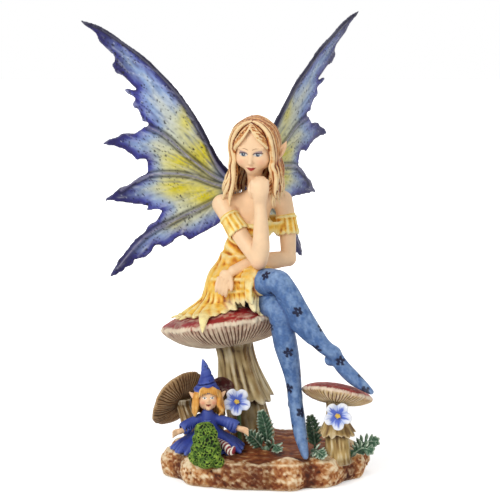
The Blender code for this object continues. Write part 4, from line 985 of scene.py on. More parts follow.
def raggedEdge():
    # the outline, rounded a little, with fine nicks everywhere but along the leading edge
    path = smoothPath(np.vstack([wingOutline, wingOutline[:1]]), 4)[:-1]
    along = np.cumsum(np.linalg.norm(np.diff(path, axis=0, prepend=path[-1:]), axis=1))
    out = np.roll(path, -1, 0) - np.roll(path, 1, 0)
    out = unit(np.stack([-out[:, 1], out[:, 0]], -1))
    size = 0.45 * rise(np.arange(len(path)), 44, 56) * rise(len(path) - 20 - np.arange(len(path)), 0, 10)
    nick = mottle(np.stack([along, 0 * along, 0 * along], -1), 1.7, wings["seed"])
    return path + out * (size * nick)[:, None]


def wingDepth(u, v, ribs):
    # how far the membrane lies behind the ribs
    return -0.42 * (1 - np.exp(-(ribs / 3.2)**2)) + 0.16 * np.sin(u * 0.35 + v * 0.11)


def paintWing(u, v, w, edge, ribs, veins):
    inner = -edge
    far = np.hypot(u, v)
    turn = np.arctan2(v, u + 4)
    flat = np.stack([u, v, 0 * u], -1)
    streak = mottle(np.stack([turn * 42, far * 0.16, 0 * u], -1), 1.0, 3)
    streak += 0.6 * mottle(np.stack([turn * 90, far * 0.3, 0 * u], -1), 1.0, 4)
    soft = mottle(flat, 3.5, 5)
    depth = inner + 0.9 * soft + 0.7 * streak + 1.3
    paint = ramp(depth / 9.5, (0, wings["indigo"]), (0.16, wings["deep"]), (0.31, wings["violet"]),
                 (0.48, wings["mist"]), (0.68, wings["pale"]), (1, wings["haze"]))
    # the long tips stay dark, the middle turns cream
    for pu, pv, size in wingTips:
        near = np.exp(-((u - pu)**2 + (v - pv)**2) / size**2 + 0.25 * soft)
        paint = over(paint, 0.95 * np.minimum(1.25 * near, 1), wings["tip"])
    paint = over(paint, 0.55 * rise(inner, 3.5, 8.5) * rise(44 - far, 0, 22), wings["cream"])
    for pu, pv, su, sv, share in wingPatches:
        spot = share * np.exp(-((u - pu) / su)**2 - ((v - pv) / sv)**2)
        paint = over(paint, 1.15 * spot * rise(inner + 0.5 * streak, 0.6, 3.5) * (0.86 + 0.2 * streak),
            wings["root"])
    paint = over(paint, 0.34 * rise(-streak, 0.2, 1.1) * rise(inner, 1, 4), wings["dim"])
    paint = over(paint, 0.2 * rise(streak, 0.3, 1.2), wings["light"])
    # painted shade beside the ribs, then the ribs themselves
    paintedShade = np.exp(-((ribs - 1.2) / 0.7)**2)
    paint = over(paint, 0.78 * paintedShade * rise(66 - far, 0, 30), wings["ribShadeAndSpecks"])
    paint = over(paint, 0.8 * rise(0.72 - ribs, 0, 0.4) * rise(70 - far, 0, 30), wings["rib"])
    # painted highlight along the middle of each rib
    paint = over(paint, 0.38 * rise(0.3 - ribs, 0, 0.3) * rise(0.3 + mottle(flat, 2.6, 27), 0, 0.6),
        wings["ribHighlight"])
    paint = over(paint, 0.14 * rise(0.6 - veins, 0, 0.4), wings["vein"])
    # leading edge
    lead = rise(2.1 - toPolygon(u, v, wingOutline[:13], closed=False), 0, 0.9) * (v > 2)
    paint = over(paint, 0.94 * lead, wings["lead"])
    # spattered specks
    spot = np.stack([u, v, 0.6 * np.sign(w)], -1)
    for size, reach, seed, share in ((2.5, 0.21, 11, 1), (1.5, 0.25, 17, 0.95), (1, 0.26, 19, 0.8)):
        near, _ = pebbles(spot, size, seed)
        some = rise(mottle(flat, 6.0, seed) + 0.45 * rise(8 - inner, 0, 7), -0.1, 0.35)
        paint = over(paint, share * some * rise(reach - near, 0, 0.05) * rise(far, 9, 20), wings["ribShadeAndSpecks"])
    near, _ = pebbles(spot, 1.1, 23)
    paint = over(paint, 0.5 * rise(0.16 - near, 0, 0.06) * rise(far, 26, 44) * rise(inner, 1, 3),
        wings["fleck"])
    return paint


def makeWing(name, node, root, outwards, upwards, sag):
    outwards, upwards = unit(outwards), unit(upwards)
    forwards = np.cross(outwards, upwards)
    forwards = forwards * (-1 if forwards[1] > 0 else 1)
    outline = raggedEdge()
    ribPaths = [smoothPath(rib, 5) for rib in wingRibs]
    veinPaths = [smoothPath(vein, 4) for vein in wingVeins]
    clay = Clay((-10, -43, -3.4), (61, 72, 3.4), wings["step"] * coarse)

    def ribGap(u, v, paths):
        return np.min([toPolygon(u, v, path, closed=False) for path in paths], 0)

    def plate(u, v, w):
        flatU, flatV = np.broadcast_arrays(u[:, :, 0], v[:, :, 0])
        edge = toPolygon(flatU, flatV, outline)
        ribs = ribGap(flatU, flatV, ribPaths)
        flat = np.stack([flatU, flatV, 0 * flatU], -1)
        turn, far = np.arctan2(flatV, flatU + 4), np.hypot(flatU, flatV)
        grooves = mottle(np.stack([turn * 42, far * 0.16, 0 * flatU], -1), 1.0, 3)
        lumps = 0.16 * mottle(flat, 1.6, 7) + 0.14 * grooves + 0.1 * mottle(flat, 0.8, 8)
        middle = wingDepth(flatU, flatV, ribs)
        thick = wings["thick"] * (0.55 + 0.45 * rise(-edge, 0, 3)) + 0.5 * lumps
        edge, middle, thick = edge[:, :, None], middle[:, :, None], thick[:, :, None]
        return np.maximum(edge, np.abs(w - middle) - thick)

    clay.press((-9, -42, -3), (60, 71, 3), plate)
    for path, size in zip(ribPaths, (0.85, 0.6, 0.65, 0.4)):
        for face in (1, -1):
            rows = [(*p, 0.5 * face, (size if face > 0 else size * 0.7) * (1 - 0.62 * i / len(path)))
                    for i, p in enumerate(path)]
            clay.limb(rows, 1, soft=0.5)
    for path in veinPaths:
        middle = wingDepth(path[:, 0], path[:, 1], ribGap(path[:, 0], path[:, 1], ribPaths))
        for face in (1, -1):
            rows = [(*p, m + face * wings["thick"] * 0.7, 0.32 * (1 - 0.6 * i / len(path)))
                    for i, (p, m) in enumerate(zip(path, middle))]
            clay.limb(rows, 1, soft=0.5)
    clay.ball((-5.6, 0, 0.3), (2.6, 3.2, 2.9), soft=1.2)
    local, faces = clay.surface()
    u, v, w = local.T
    edge, ribs, veins = toPolygon(u, v, outline), ribGap(u, v, ribPaths), ribGap(u, v, veinPaths)
    hang = v - sag * u / 50 * np.exp(-((v + 4) / 24)**2)
    points = root + u[:, None] * outwards + hang[:, None] * upwards + w[:, None] * forwards
    if np.dot(np.cross(outwards, upwards), forwards) < 0:
        faces = faces[:, ::-1]
    makePiece(name, points, faces, lambda p, n, hollow: paintWing(u, v, w, edge, ribs, veins), resins["wing"],
        [node])


# toadstools: a cap turned on its own axis over a torn, fluted stem

def tilted(right, back):
    up = unit([-math.tan(math.radians(right)), math.tan(math.radians(back)), 1.0])
    side = unit(np.array([1, 0, 0]) - up * up[0])
    return np.array([side, np.cross(up, side), up])


def alongUp(up):
    up = unit(up)
    side = unit(np.array([1, 0, 0]) - up * up[0])
    return np.array([side, np.cross(up, side), up])


toadstools = {
    "largeToadstool": {
        "node": "large_toadstool", "foot": (-4.5, 3, 9.5), "cap": (-15, 2, 62), "axes": tilted(9, 10),
        "neck": 7.8, "root": 9.4, "frill": 11.2, "frillAt": 0.5, "radius": 29.5, "dome": 7.2, "depth": 9.5,
        "gills": 104, "columns": 624, "rows": 2, "step": 0.56, "top": "9A2226", "topDark": "5A1014",
        "topPale": "B8403C",
        "gill": "C8AC92", "gillDark": "5E3F2C", "rim": "E2D0B4", "stem": "C4AC7A", "stemDark": "3E2812",
        "blush": "A67C68"},
    "smallToadstool": {
        "node": "small_toadstool", "foot": (30.5, -25, 9.5), "cap": (29.6, -23, 37), "axes": tilted(-10, 20),
        "neck": 3.6, "root": 5.3, "frill": 7.0, "frillAt": 0.52, "radius": 14.8, "dome": 4.6, "depth": 3.6,
        "gills": 58, "columns": 290, "rows": 2, "step": 0.4, "top": "A23A34", "topDark": "6B1E1C",
        "topPale": "CF7A68",
        "gill": "C0A268", "gillDark": "5E4020", "rim": "EBD6BC", "stem": "C2A468", "stemDark": "4C3014",
        "blush": "C89A7C"},
    "leaningToadstool": {
        "node": "leaning_toadstool", "foot": (-29, -3, 9.5), "cap": (-36.5, -1, 29.5),
        "axes": alongUp((-0.62, 0.62, 0.46)), "neck": 3.2, "root": 4.1, "frill": 3.9, "frillAt": 0.45,
        "radius": 14.0,
        "dome": 3.6, "depth": 3.2, "gills": 52, "columns": 312, "rows": 2, "step": 0.42, "top": "7A5632",
        "topDark": "3C2412",
        "topPale": "A88456", "gill": "94704A", "gillDark": "30200F", "rim": "B8966A", "stem": "9A7C50",
        "stemDark": "36240F",
        "blush": "80603C"},
    "darkToadstool": {
        "node": "dark_toadstool", "foot": (-19.5, -9, 9.5), "cap": (-18, -8.4, 36.4), "axes": tilted(-8, -34),
        "neck": 1.5, "root": 1.8, "frill": 1.9, "frillAt": 0.6, "radius": 4.9, "dome": 3.0, "depth": 1.4,
        "gills": 24, "columns": 144, "rows": 1, "step": 0.32, "top": "4A1416", "topDark": "220809",
        "topPale": "6A2624",
        "gill": "5A3626", "gillDark": "1C0E08", "rim": "5A2A20", "stem": "7C6244", "stemDark": "2A1A10",
        "blush": "6A3A30"},
}


# a cap's section as shares of its radius, and of its depth below or of its dome above
capBelow = ((0.1, 0.92), (0.24, 1), (0.34, 0.98), (0.48, 0.92), (0.62, 0.8), (0.75, 0.64), (0.86, 0.42),
    (0.94, 0.22))
capAbove = ((0.985, -0.04), (1, 0.1), (0.985, 0.24), (0.93, 0.4), (0.82, 0.61), (0.66, 0.8), (0.5, 0.91),
            (0.33, 0.98), (0.16, 1), (0.001, 1))
stemPaint = {"middle": "8A6A3C", "pale": "F1E6C4"}


def makeCap(look):
    count = int(look["columns"] / coarse)
    profile = [(out, -down * look["depth"]) for out, down in capBelow]
    profile += [(out, up * look["dome"]) for out, up in capAbove]
    rows = smoothPath(profile, 1 + look["rows"])
    share, height = rows[:, 0], rows[:, 1]
    turn = 2 * math.pi * np.arange(count) / count
    s, a = np.meshgrid(share, turn, indexing="ij")
    h = np.repeat(height[:, None], count, 1)
    under = (np.arange(len(rows)) < 9 * (1 + look["rows"]) - 1)[:, None] * np.ones_like(a)
    wavy = 1 + 0.03 * np.sin(3 * a + 0.7) + 0.02 * np.sin(5 * a)
    ring = np.stack([np.cos(a), np.sin(a), 0 * a], -1)
    # thin gills with narrow dark slots, forked towards the rim
    phase = look["gills"] * a / (2 * math.pi) + 0.5 * mottle(ring * 4, 1,
        3) + 0.25 * mottle(ring * 4 + s[..., None] * 3, 1, 4)
    saw = np.abs(phase - np.round(phase)) * 2
    fork = np.abs(2 * phase - np.round(2 * phase)) * 2
    gill = np.where(s > 0.7, np.minimum(saw, 0.35 + fork), saw)
    deep = 0.03 * look["radius"] * rise(s, 0.2, 0.42) * rise(1.0 - s, -0.01, 0.1) * under
    slot = (1 - rise(gill, 0.0, 0.6)) * under * rise(s, 0.2, 0.3)
    # nibbled lip
    place = ring * (look["radius"] * s)[..., None]
    lip = np.exp(-((s - 1.0) / 0.05)**2)
    nibble = mottle(place, 1.6, 6) + 0.6 * mottle(place, 0.8, 7) + 0.8 * mottle(place, 4.5, 8)
    reach = look["radius"] * s * wavy + lip * 0.012 * look["radius"] * nibble
    h = h - deep * (gill - 0.55) + lip * 0.01 * look["radius"] * np.roll(nibble, 5, 1)
    above = 1 - under
    h = h + above * (0.01 * look["radius"] * mottle(place, 7.0, 9) + 0.1 * mottle(place, 1.1, 10)) * rise(1
        - s, 0, 0.1)
    local = np.stack([reach * np.cos(a), reach * np.sin(a), h], -1).reshape(-1, 3)
    points = np.array(look["cap"]) + local @ look["axes"]
    # paint
    flat = place.reshape(-1, 3)
    sf, uf, gf, slotF = s.ravel(), under.ravel(), gill.ravel(), slot.ravel()
    streak = mottle(np.stack([a.ravel() * 40, sf * 5, 0 * sf], -1), 1, 12)
    bottom = ramp(0.6 - 0.42 * slotF + 0.24 * streak + 0.2 * mottle(flat, 5, 13),
                  (0, look["gillDark"]), (0.35, look["blush"]), (0.62, look["gill"]), (1, look["rim"]))
    # the underside is painted darker towards the stem, as shade deep under the cap
    bottom = over(bottom, 0.55 * rise(0.5 - sf, 0, 0.25), look["gillDark"])
    patch = 0.42 + 0.26 * mottle(flat, 6, 14) + 0.16 * mottle(flat, 1.6, 15)
    crown = ramp(patch, (0, look["topDark"]), (0.45, look["top"]), (1, look["topPale"]))
    crown = over(crown, 0.75 * rise(sf + 0.02 * streak + 0.015 * mottle(flat, 2, 18), 0.975, 0.995),
        look["rim"])
    paint = np.where(uf[:, None] > 0, bottom, crown)
    lipF = np.exp(-((sf - 1.0) / 0.018)**2)
    paint = over(paint, 0.8 * lipF * rise(mottle(flat, 1.4, 16), -0.7, 0.3), look["rim"])
    relief = 0.22 * slotF
    return points, loftFaces(len(rows), count), paint, relief


def makeStem(look):
    foot, cap = np.array(look["foot"]), np.array(look["cap"])
    neck = cap - look["axes"][2] * look["depth"] * 0.85
    low = np.minimum(foot, neck) - [look["frill"] + 3, look["frill"] + 3, 1]
    high = np.maximum(foot, neck) + [look["frill"] + 3, look["frill"] + 3, 1.5]
    clay = Clay(low, high, look["step"] * coarse)
    tall = neck[2] - foot[2]
    size = look["neck"]

    def axis(x, y, z):
        s = np.clip((z - foot[2]) / tall, 0, 1)
        dx, dy = x - foot[0] - (neck - foot)[0] * s, y - foot[1] - (neck - foot)[1] * s
        return s, np.arctan2(dy, dx), np.hypot(dx, dy)

    def bark(turn, z, s):
        turn, z = np.broadcast_arrays(turn, z)
        ring = np.stack([np.cos(turn) * size, np.sin(turn) * size, 0.1 * z + 0 * turn], -1)
        return mottle(ring, 0.16 * size, 21) + 0.5 * mottle(ring, 0.09 * size, 22)

    def stem(x, y, z):
        s, turn, out = axis(x, y, z)
        lower = np.interp(s, (0, 0.06, 0.3, 0.47, 0.7, 0.94, 1),
            (look["root"] * 1.08, look["root"], look["root"] * 0.95,
                          look["root"] * 0.88, size * 1.02, size * 0.98, size * 1.12))
        return (out - lower - 0.045 * size * bark(turn, z, s)) * 0.8

    def frill(x, y, z):
        s, turn, out = axis(x, y, z)
        at = look["frillAt"]
        ring = np.stack([np.cos(turn) * 3, np.sin(turn) * 3, 0 * turn], -1)
        hang = 0.045 * mottle(ring, 1.0, 25) + 0.03 * np.abs(np.sin(6.5 * turn + 1)) + 0.02 * mottle(ring,
            0.35, 26)
        edge = at - 0.03 - hang
        flare = size * 1.02 + (look["frill"] - size) * np.clip((at + 0.4 - s) / 0.4, 0, 1.15)**1.9
        flare = flare * (1 + 0.05 * np.sin(7 * turn + 1) + 0.025 * np.sin(13 * turn))
        return np.maximum((out - flare - 0.07 * size * bark(turn, z, s)) * 0.75, (edge - s) * tall)

    clay.press(low, high, stem)
    clay.press(low, high, frill)
    points, faces = clay.surface()
    x, y, z = points.T
    s, turn, out = axis(x, y, z)
    grain = bark(turn, z, s)
    ring = np.stack([np.cos(turn) * 3, np.sin(turn) * 3, 0 * turn], -1)
    share = np.clip(0.58 + 0.34 * grain + 0.15 * mottle(points, 3, 27), 0, 1)
    paint = ramp(share, (0, look["stemDark"]), (0.3, stemPaint["middle"]), (0.62, look["stem"]),
        (1, stemPaint["pale"]))
    # painted shade: darker at the top, up under the cap, and just under the frill
    paint = over(paint, 0.55 * rise(s, 0.86, 1.0), look["stemDark"])
    under = (s < look["frillAt"]) * rise(s, look["frillAt"] - 0.16,
        look["frillAt"] - 0.06) * (out < look["frill"] * 0.86)
    paint = over(paint, 0.75 * under, look["stemDark"])
    paint = over(paint, 0.5 * rise(0.1 - s, 0, 0.08), look["stemDark"])
    return points, faces, paint, -0.1 * grain


def makeToadstool(name):
    look = toadstools[name]
    capPart, stemPart = makeCap(look), makeStem(look)
    points = np.vstack([capPart[0], stemPart[0]])
    faces = np.vstack([capPart[1], stemPart[1] + len(capPart[0])])
    makePiece(name, points, faces, np.vstack([capPart[2], stemPart[2]]), resins["toadstool"], [look["node"]],
              relief=np.concatenate([capPart[3], stemPart[3]]))


# rock base

rock = {"step": 0.66, "width": 89.0, "depth": 61.0, "height": 12.0, "rimRise": 1.6, "lobes": 10,
        "brown": "96582E", "tan": "C48A52", "cream": "F2DCB6", "deep": "3C1A0A", "red": "7E3C1C",
        "streak": "6E3418"}


def rockLobe(turn):
    warped = turn + 0.22 * np.sin(2 * turn + 1.0) + 0.1 * np.sin(5 * turn)
    return np.sin(warped * rock["lobes"] / 2)**2


def makeBase():
    halfW, halfD, high = rock["width"] / 2, rock["depth"] / 2, rock["height"]
    clay = Clay((-halfW - 1.5, baseMiddleY - halfD - 1.5, -0.8),
        (halfW + 1.5, baseMiddleY + halfD + 1.5, high + 4.2), rock["step"] * coarse)

    def around(x, y):
        turn = np.arctan2((y - baseMiddleY) / halfD, x / halfW)
        lobe = rockLobe(turn)
        bulge = 0.945 + 0.055 * lobe
        return turn, lobe, np.hypot(x / halfW, (y - baseMiddleY) / halfD) / bulge

    def block(x, y, z):
        turn, lobe, q = around(x, y)
        points = np.stack(np.broadcast_arrays(x + 0 * z, y + 0 * z, z + 0 * x), -1)
        side = np.interp(z / high, (0, 0.02, 0.1, 0.4, 0.7, 0.92, 1, 1.15),
            (0.93, 0.95, 0.97, 1, 0.985, 0.94, 0.88, 0.8))
        flat = np.stack(np.broadcast_arrays(x, y, 0 * x * y), -1)
        swell = 0.8 * mottle(flat, 9.0, 41) + 0.35 * mottle(flat * [1, 1.6, 1], 3.2, 42)
        band = rise(q, 0.58, 0.82) * rise(1.02 - q, 0, 0.16)
        top = high + rock["rimRise"] * (lobe - 0.25) * band + 0.55 * swell - 0.9 * (1
            - rise(q, 0.25, 0.75)) * 0.4
        crease = 0.5 * (1 - lobe) * rise(q, 0.62, 0.9)
        bent = points + 0.7 * mottle(points, 2.2, 54)[..., None]
        near, second = pebbles(bent, 1.45, 43)
        net = 1 - rise(second - near, 0.02, 0.42)
        near2, second2 = pebbles(bent, 0.85, 47)
        net2 = 1 - rise(second2 - near2, 0.02, 0.45)
        strong = 0.35 + 0.65 * rise(q, 0.72, 0.92)
        skin = strong * (0.26 * net + 0.2 * net2 - 0.22) + (0.15 + 0.27 * strong) * mottle(points, 2.8,
            48) + 0.16 * strong * mottle(points, 1.1, 49)
        body = np.maximum((q - side) * halfD * 1.05 + crease, z - top + crease)
        return np.maximum((body - skin) * 0.8, 0.05 - z)

    clay.press((-halfW - 1, baseMiddleY - halfD - 1, -0.5), (halfW + 1, baseMiddleY + halfD + 1, high + 4),
        block)
    points, faces = clay.surface()
    turn, lobe, q = around(points[:, 0], points[:, 1])

    def paintRock(points, normals, hollow):
        strong = rise(q, 0.7, 0.9)
        share = 0.34 - 0.8 * hollow + 0.2 * mottle(points, 5.0, 51) + 0.16 * mottle(points, 1.2,
            52) + 0.08 * strong
        # on the sides, faces that point up are painted lighter, as lit from above, and the lobes' bellies
        # paler
        share = share + strong * (0.22 * rise(normals[:, 2], 0.1, 0.9) + 0.24 * (lobe - 0.45))
        paint = ramp(share, (0, rock["deep"]), (0.28, rock["red"]), (0.46, rock["brown"]),
            (0.68, rock["tan"]),
                     (0.95, rock["cream"]))
        # the dished top is darker, with warm streaks
        paint = over(paint, 0.6 * (1 - strong) * rise(mottle(points, 5.0, 53) + 0.4 * mottle(points, 1.8, 55),
            -0.6, 0.5), rock["streak"])
        # darker in the creases between the lobes: partly the wash there, partly painted shade
        paint = over(paint, 0.5 * (1 - rise(lobe, 0.0, 0.5)) * strong, rock["deep"])
        paint = over(paint, 0.35 * rise(2.5 - points[:, 2], 0, 2.5), rock["deep"])
        return paint

    makePiece("rockBase", points, faces, paintRock, resins["rock"], ["base"])


# pixie doll

pixie = {"step": 0.28, "head": np.array([-24, -18, 34.3]), "blue": "2C3C8E", "deep": "12183F",
    "pale": "5F72BC",
         "skin": "F2C79C", "cheek": "DE7A5C", "hair": "E0A04A", "hairDark": "8A4A18", "sock": "F2E8DC",
         "stripe": "7E1F2A",
         "hairMiddle": "C27C30", "hairPale": "F6CE84", "eye": "F8F4EC", "iris": "3A2A20", "lash": "3A2014",
         "brow": "9A5A28", "mouth": "7A2018", "lip": "C24A3A", "hatSpot": "141638", "stripeGap": 1.7,
         "gownStep": 0.36, "stockingStep": 0.22}


def makePixie():
    at, body = pixie["head"], np.array([-24, -18.5, 12])
    front = unit([0.1, -1, 0.1])
    side = unit(np.cross([0, 0, 1], front))
    up = np.cross(front, side)
    axes = np.array([side, front, up])

    def on(a, c, b):
        return at + a * side + c * front + b * up

    hands = ((body + [14.3, -4, 10], 1), (body + [-11.8, -4.5, 9.2], -1))
    # face and hands
    clay = Clay((-42, -31, 12), (-4, -8, 44), pixie["step"] * coarse)
    clay.ball(on(0, 0, 0), (4.3, 4.2, 4.6), axes)
    clay.ball(on(0, 0.9, -1.6), (3.6, 3.4, 3.2), axes, soft=1.0)
    for s in (-1, 1):
        clay.ball(on(s * 2.0, 2.6, -1.3), (1.5, 1.5, 1.35), axes, soft=0.8)
        clay.ball(on(s * 1.55, 4.4, 0.7), (0.9, 0.7, 0.5), axes, soft=0.4, cut=True)
        clay.ball(on(s * 1.55, 3.55, 0.65), (0.75, 0.6, 0.45), axes, soft=0.15)
        clay.limb([(*on(s * 4.2, -0.2, -0.8), 1.0), (*on(s * 5.6, -0.4, 0.8), 1.25),
            (*on(s * 7.6, -0.6, 2.6), 0.3)], 4, soft=0.4,
                  flat=(front, 0.45))
    clay.ball(on(0, 4.35, -0.6), (0.62, 0.75, 0.55), axes, soft=0.4)
    clay.limb([(*on(-1.4, 4.1, -2.0), 0.12), (*on(0, 4.45, -2.55), 0.42), (*on(1.4, 4.1, -2.0), 0.12)], 4,
        soft=0.15, cut=True)
    clay.ball(on(0, 3.7, -3.9), (1.1, 0.8, 0.8), axes, soft=0.6)
    clay.limb([(*on(0, -0.4, -4.0), 1.6), (*(body + [0, 0, 14.5]), 1.7)], 1, soft=0.6)
    for hand, s in hands:
        wrist = hand + [-s * 3.0, 0.9, 0.8]
        clay.limb([(*wrist, 1.15), (*hand, 1.25)], 2, soft=0.4)
        for k in range(4):
            clay.limb([(*(hand + [s * 0.6, -0.3, 0.9 - 0.6 * k]), 0.5),
                (*(hand + [s * 2.0, -1.0 - 0.1 * k, 0.7 - 0.75 * k]), 0.42),
                       (*(hand + [s * 2.7, -1.7, 0.2 - 0.8 * k]), 0.3)], 3, soft=0.15)
    points, faces = clay.surface()

    def paintFace(points, normals, hollow):
        local = points - at
        a, c, b = local @ side, local @ front, local @ up
        paint = np.tile(linear(pixie["skin"]), (len(points), 1))
        face = c > 1.5
        for s in (-1, 1):
            paint = over(paint, face * 0.7 * np.exp(-((a - s * 2.3) / 1.0)**2 - ((b + 1.4) / 0.9)**2),
                pixie["cheek"])
            u, v = a - s * 1.55, b - 0.65
            eye = face * rise(0.78 - np.hypot(u / 1.15, v / 0.75), 0, 0.12)
            paint = over(paint, eye, pixie["eye"])
            paint = over(paint, face * rise(0.42 - np.hypot(u, v), 0, 0.12), pixie["iris"])
            paint = over(paint, face * rise(0.13 - np.abs(v - 0.52 + 0.35 * u * u), 0, 0.1)
                * (np.abs(u) < 0.95), pixie["lash"])
            paint = over(paint, face * 0.7 * rise(0.16 - np.abs(v - 1.35 + 0.18 * u * u), 0, 0.12)
                * (np.abs(u) < 0.9), pixie["brow"])
        mouth = face * rise(0.62 - np.hypot(a / 1.9, (b + 2.35 - 0.18 * a * a) / 0.75), 0, 0.12)
        paint = over(paint, mouth, pixie["mouth"])
        paint = over(paint, face * 0.8 * rise(0.16 - np.abs(b + 2.9 - 0.16 * a * a), 0, 0.12)
            * (np.abs(a) < 1.2), pixie["lip"])
        return paint

    makePiece("pixieSkin", points, faces, paintFace, resins["skin"], ["pixie"])

    # hair, in thick curls
    clay = Clay((-34, -28, 22), (-14, -9, 44), pixie["step"] * coarse)
    clay.ball(on(0, -1.0, 0.9), (5.2, 4.5, 4.9), axes)
    clay.ball(on(0, 4.4, -1.7), (3.5, 4, 4.3), axes, soft=0.4, cut=True)
    rng = np.random.default_rng(3)
    for i in range(34):
        turn = math.radians(62 + 236 * i / 33)
        out = front * math.cos(turn) + side * math.sin(turn)
        back = max(0.0, -math.cos(turn))
        rows = [(*(at + up * 4.2 + out * 1.5), 0.5), (*(at + up * 3.0 + out * 4.3), 0.85),
            (*(at + up * 0.4 + out * 5.3), 0.95),
                (*(at - up * 2.6 + out * 5.5 + side * rng.uniform(-0.5, 0.5)), 0.95),
                (*(at - up * (5.4 + rng.uniform(-1, 1.2) + 0.8 * back) + out
                    * (6.0 + rng.uniform(-0.5, 0.9))), 0.75),
                (*(at - up * (6.8 + rng.uniform(-1, 1)) + out * (5.4 + rng.uniform(-0.6, 0.6))), 0.25)]
        clay.limb(rows, 4, soft=0.12)
    for i in range(9):
        a = -3.4 + 0.85 * i
        rows = [(*on(a * 0.5, 3.0, 4.9), 0.5), (*on(a * 0.9, 4.0, 4.0), 0.65),
            (*on(a * 1.08, 4.3 - 0.1 * abs(a), 3.2 - 0.3 * abs(a)), 0.45),
                (*on(a * 1.2 + 0.2, 4.2 - 0.22 * abs(a), 2.7 - 0.55 * abs(a)), 0.2)]
        clay.limb(rows, 4, soft=0.1)
    points, faces = clay.surface()
    makePiece("pixieHair", points, faces, lambda p, n, h: ramp(0.6 - 0.7 * h + 0.2 * mottle(p, 1.2, 5),
              (0, pixie["hairDark"]), (0.4, pixie["hairMiddle"]), (0.65, pixie["hair"]),
              (1, pixie["hairPale"])), resins["hair"], ["pixie"])

    # hat, gown with spread skirt, and sleeves
    clay = Clay((-44, -36, 11), (-6, -6, 56), pixie["gownStep"] * coarse)
    hat = on(-0.3, -0.6, 2.9)
    clay.limb([(*(hat + [0, 0, 0.2]), 4.9), (*(hat + [0.1, 0.2, 2]), 4.1), (*(hat + [0, 0.5, 5.6]), 2.8),
        (*(hat + [-0.7, 0.5, 10]), 1.6),
               (*(hat + [-1.6, 0.3, 13.2]), 0.55)], 5)
    clay.ball(on(0, 1.6, -3.0), (6.5, 9, 5.6), axes, soft=0.3, cut=True)
    brim = [(*(hat + [5.0 * math.cos(t), 4.7 * math.sin(t), 0.8 + 0.35 * math.sin(3 * t)]), 0.5)
        for t in np.linspace(0, 2 * math.pi, 25)]
    clay.limb(brim, 2, soft=0.5)
    for k in range(3):
        h = 3.5 + 3.0 * k
        ring = [(*(hat + [(-0.08 * h) + (3.75 - 0.9 * k) * math.cos(t), 0.4 + (3.6 - 0.9 * k) * math.sin(t),
            h + 0.7 * math.cos(t)]), 0.3)
                for t in np.linspace(0, 2 * math.pi, 17)]
        clay.limb(ring, 2, soft=0.5, cut=True)
    clay.limb([(*(body + [0, -0.8, 3.5]), 6.4), (*(body + [0, 0, 11]), 4.3), (*(body + [0, 0, 15.5]), 2.7)],
        5, soft=0.8)
    for hand, s in hands:
        shoulder = body + [s * 3.2, 0, 13.6]
        cuff = shoulder * 0.3 + hand * 0.7
        clay.limb([(*shoulder, 2.1), (*(shoulder * 0.6 + hand * 0.4 + [0, 0, 0.4]), 2.3), (*cuff, 2.9)], 5,
            soft=1.0)
        along = unit(hand - shoulder)
        clay.limb([(*(cuff + along * 1.2), 1.9), (*(cuff + along * 4.5), 2.2)], 2, soft=0.3, cut=True)
        for k in range(5):
            spot = shoulder + (cuff - shoulder) * (0.2 + 0.17 * k)
            clay.limb([(*(spot + [0.5, -2.4, 1.6]), 0.25), (*(spot + [0, -2.9, 0]), 0.35),
                (*(spot + [-0.4, -2.2, -1.8]), 0.25)], 3, soft=0.5,
                      cut=True)
    for i in range(19):
        turn = math.radians(-178 + 196 * i / 18)
        reach = 13.0 * (1.02 + 0.14 * math.cos(2 * turn) + 0.05 * math.sin(5 * i))
        out = np.array([math.cos(turn), math.sin(turn), 0])
        reach = reach * (0.93 if turn < -0.6 and turn > -2.4 else 1.0)
        rows = [(*(body + out * 3.0 + [0, 0, 8]), 1.9),
            (*(body + out * reach * 0.5 + [0, 0, 5]), 2.0 - 0.4 * (i % 2)),
                (*(body + out * reach * 0.8 + [0, 0, 2.7]), 1.6),
                (*(body + out * reach + [0, 0, 1.0 + 0.5 * (i % 2)]), 0.85)]
        clay.limb(rows, 4, soft=0.9)
    waist = [(*(body + [4.7 * math.cos(t), -0.3 + 4.7 * math.sin(t), 9.0 + 0.5 * math.sin(2 * t)]), 0.5)
        for t in np.linspace(0, 2 * math.pi, 17)]
    clay.limb(waist, 2, soft=0.4)
    for k in range(4):
        lace = [(*(body + [-1.6 + 0.1 * k, -4.6 + 0.25 * k, 10.4 + 1.1 * k]), 0.25),
            (*(body + [0, -5.0 + 0.4 * k, 10.1 + 1.1 * k]), 0.3),
                (*(body + [1.6 - 0.1 * k, -4.6 + 0.25 * k, 10.4 + 1.1 * k]), 0.25)]
        clay.limb(lace, 2, soft=0.2)
    points, faces = clay.surface()

    def paintGown(points, normals, hollow):
        # faces that point up are painted lighter, as lit from above
        share = np.clip(0.5 - 0.55 * hollow + 0.16 * mottle(points * [1, 1, 0.6], 2.2, 61) + 0.12
            * normals[:, 2], 0, 1)
        paint = ramp(share, (0, pixie["deep"]), (0.48, pixie["blue"]), (1, pixie["pale"]))
        cone = points[:, 2] > hat[2] + 0.5
        near, _ = pebbles(points, 1.9, 66)
        return over(paint, cone * 0.85 * rise(0.26 - near, 0, 0.08), pixie["hatSpot"])

    makePiece("pixieGown", points, faces, paintGown, resins["gown"], ["pixie"])

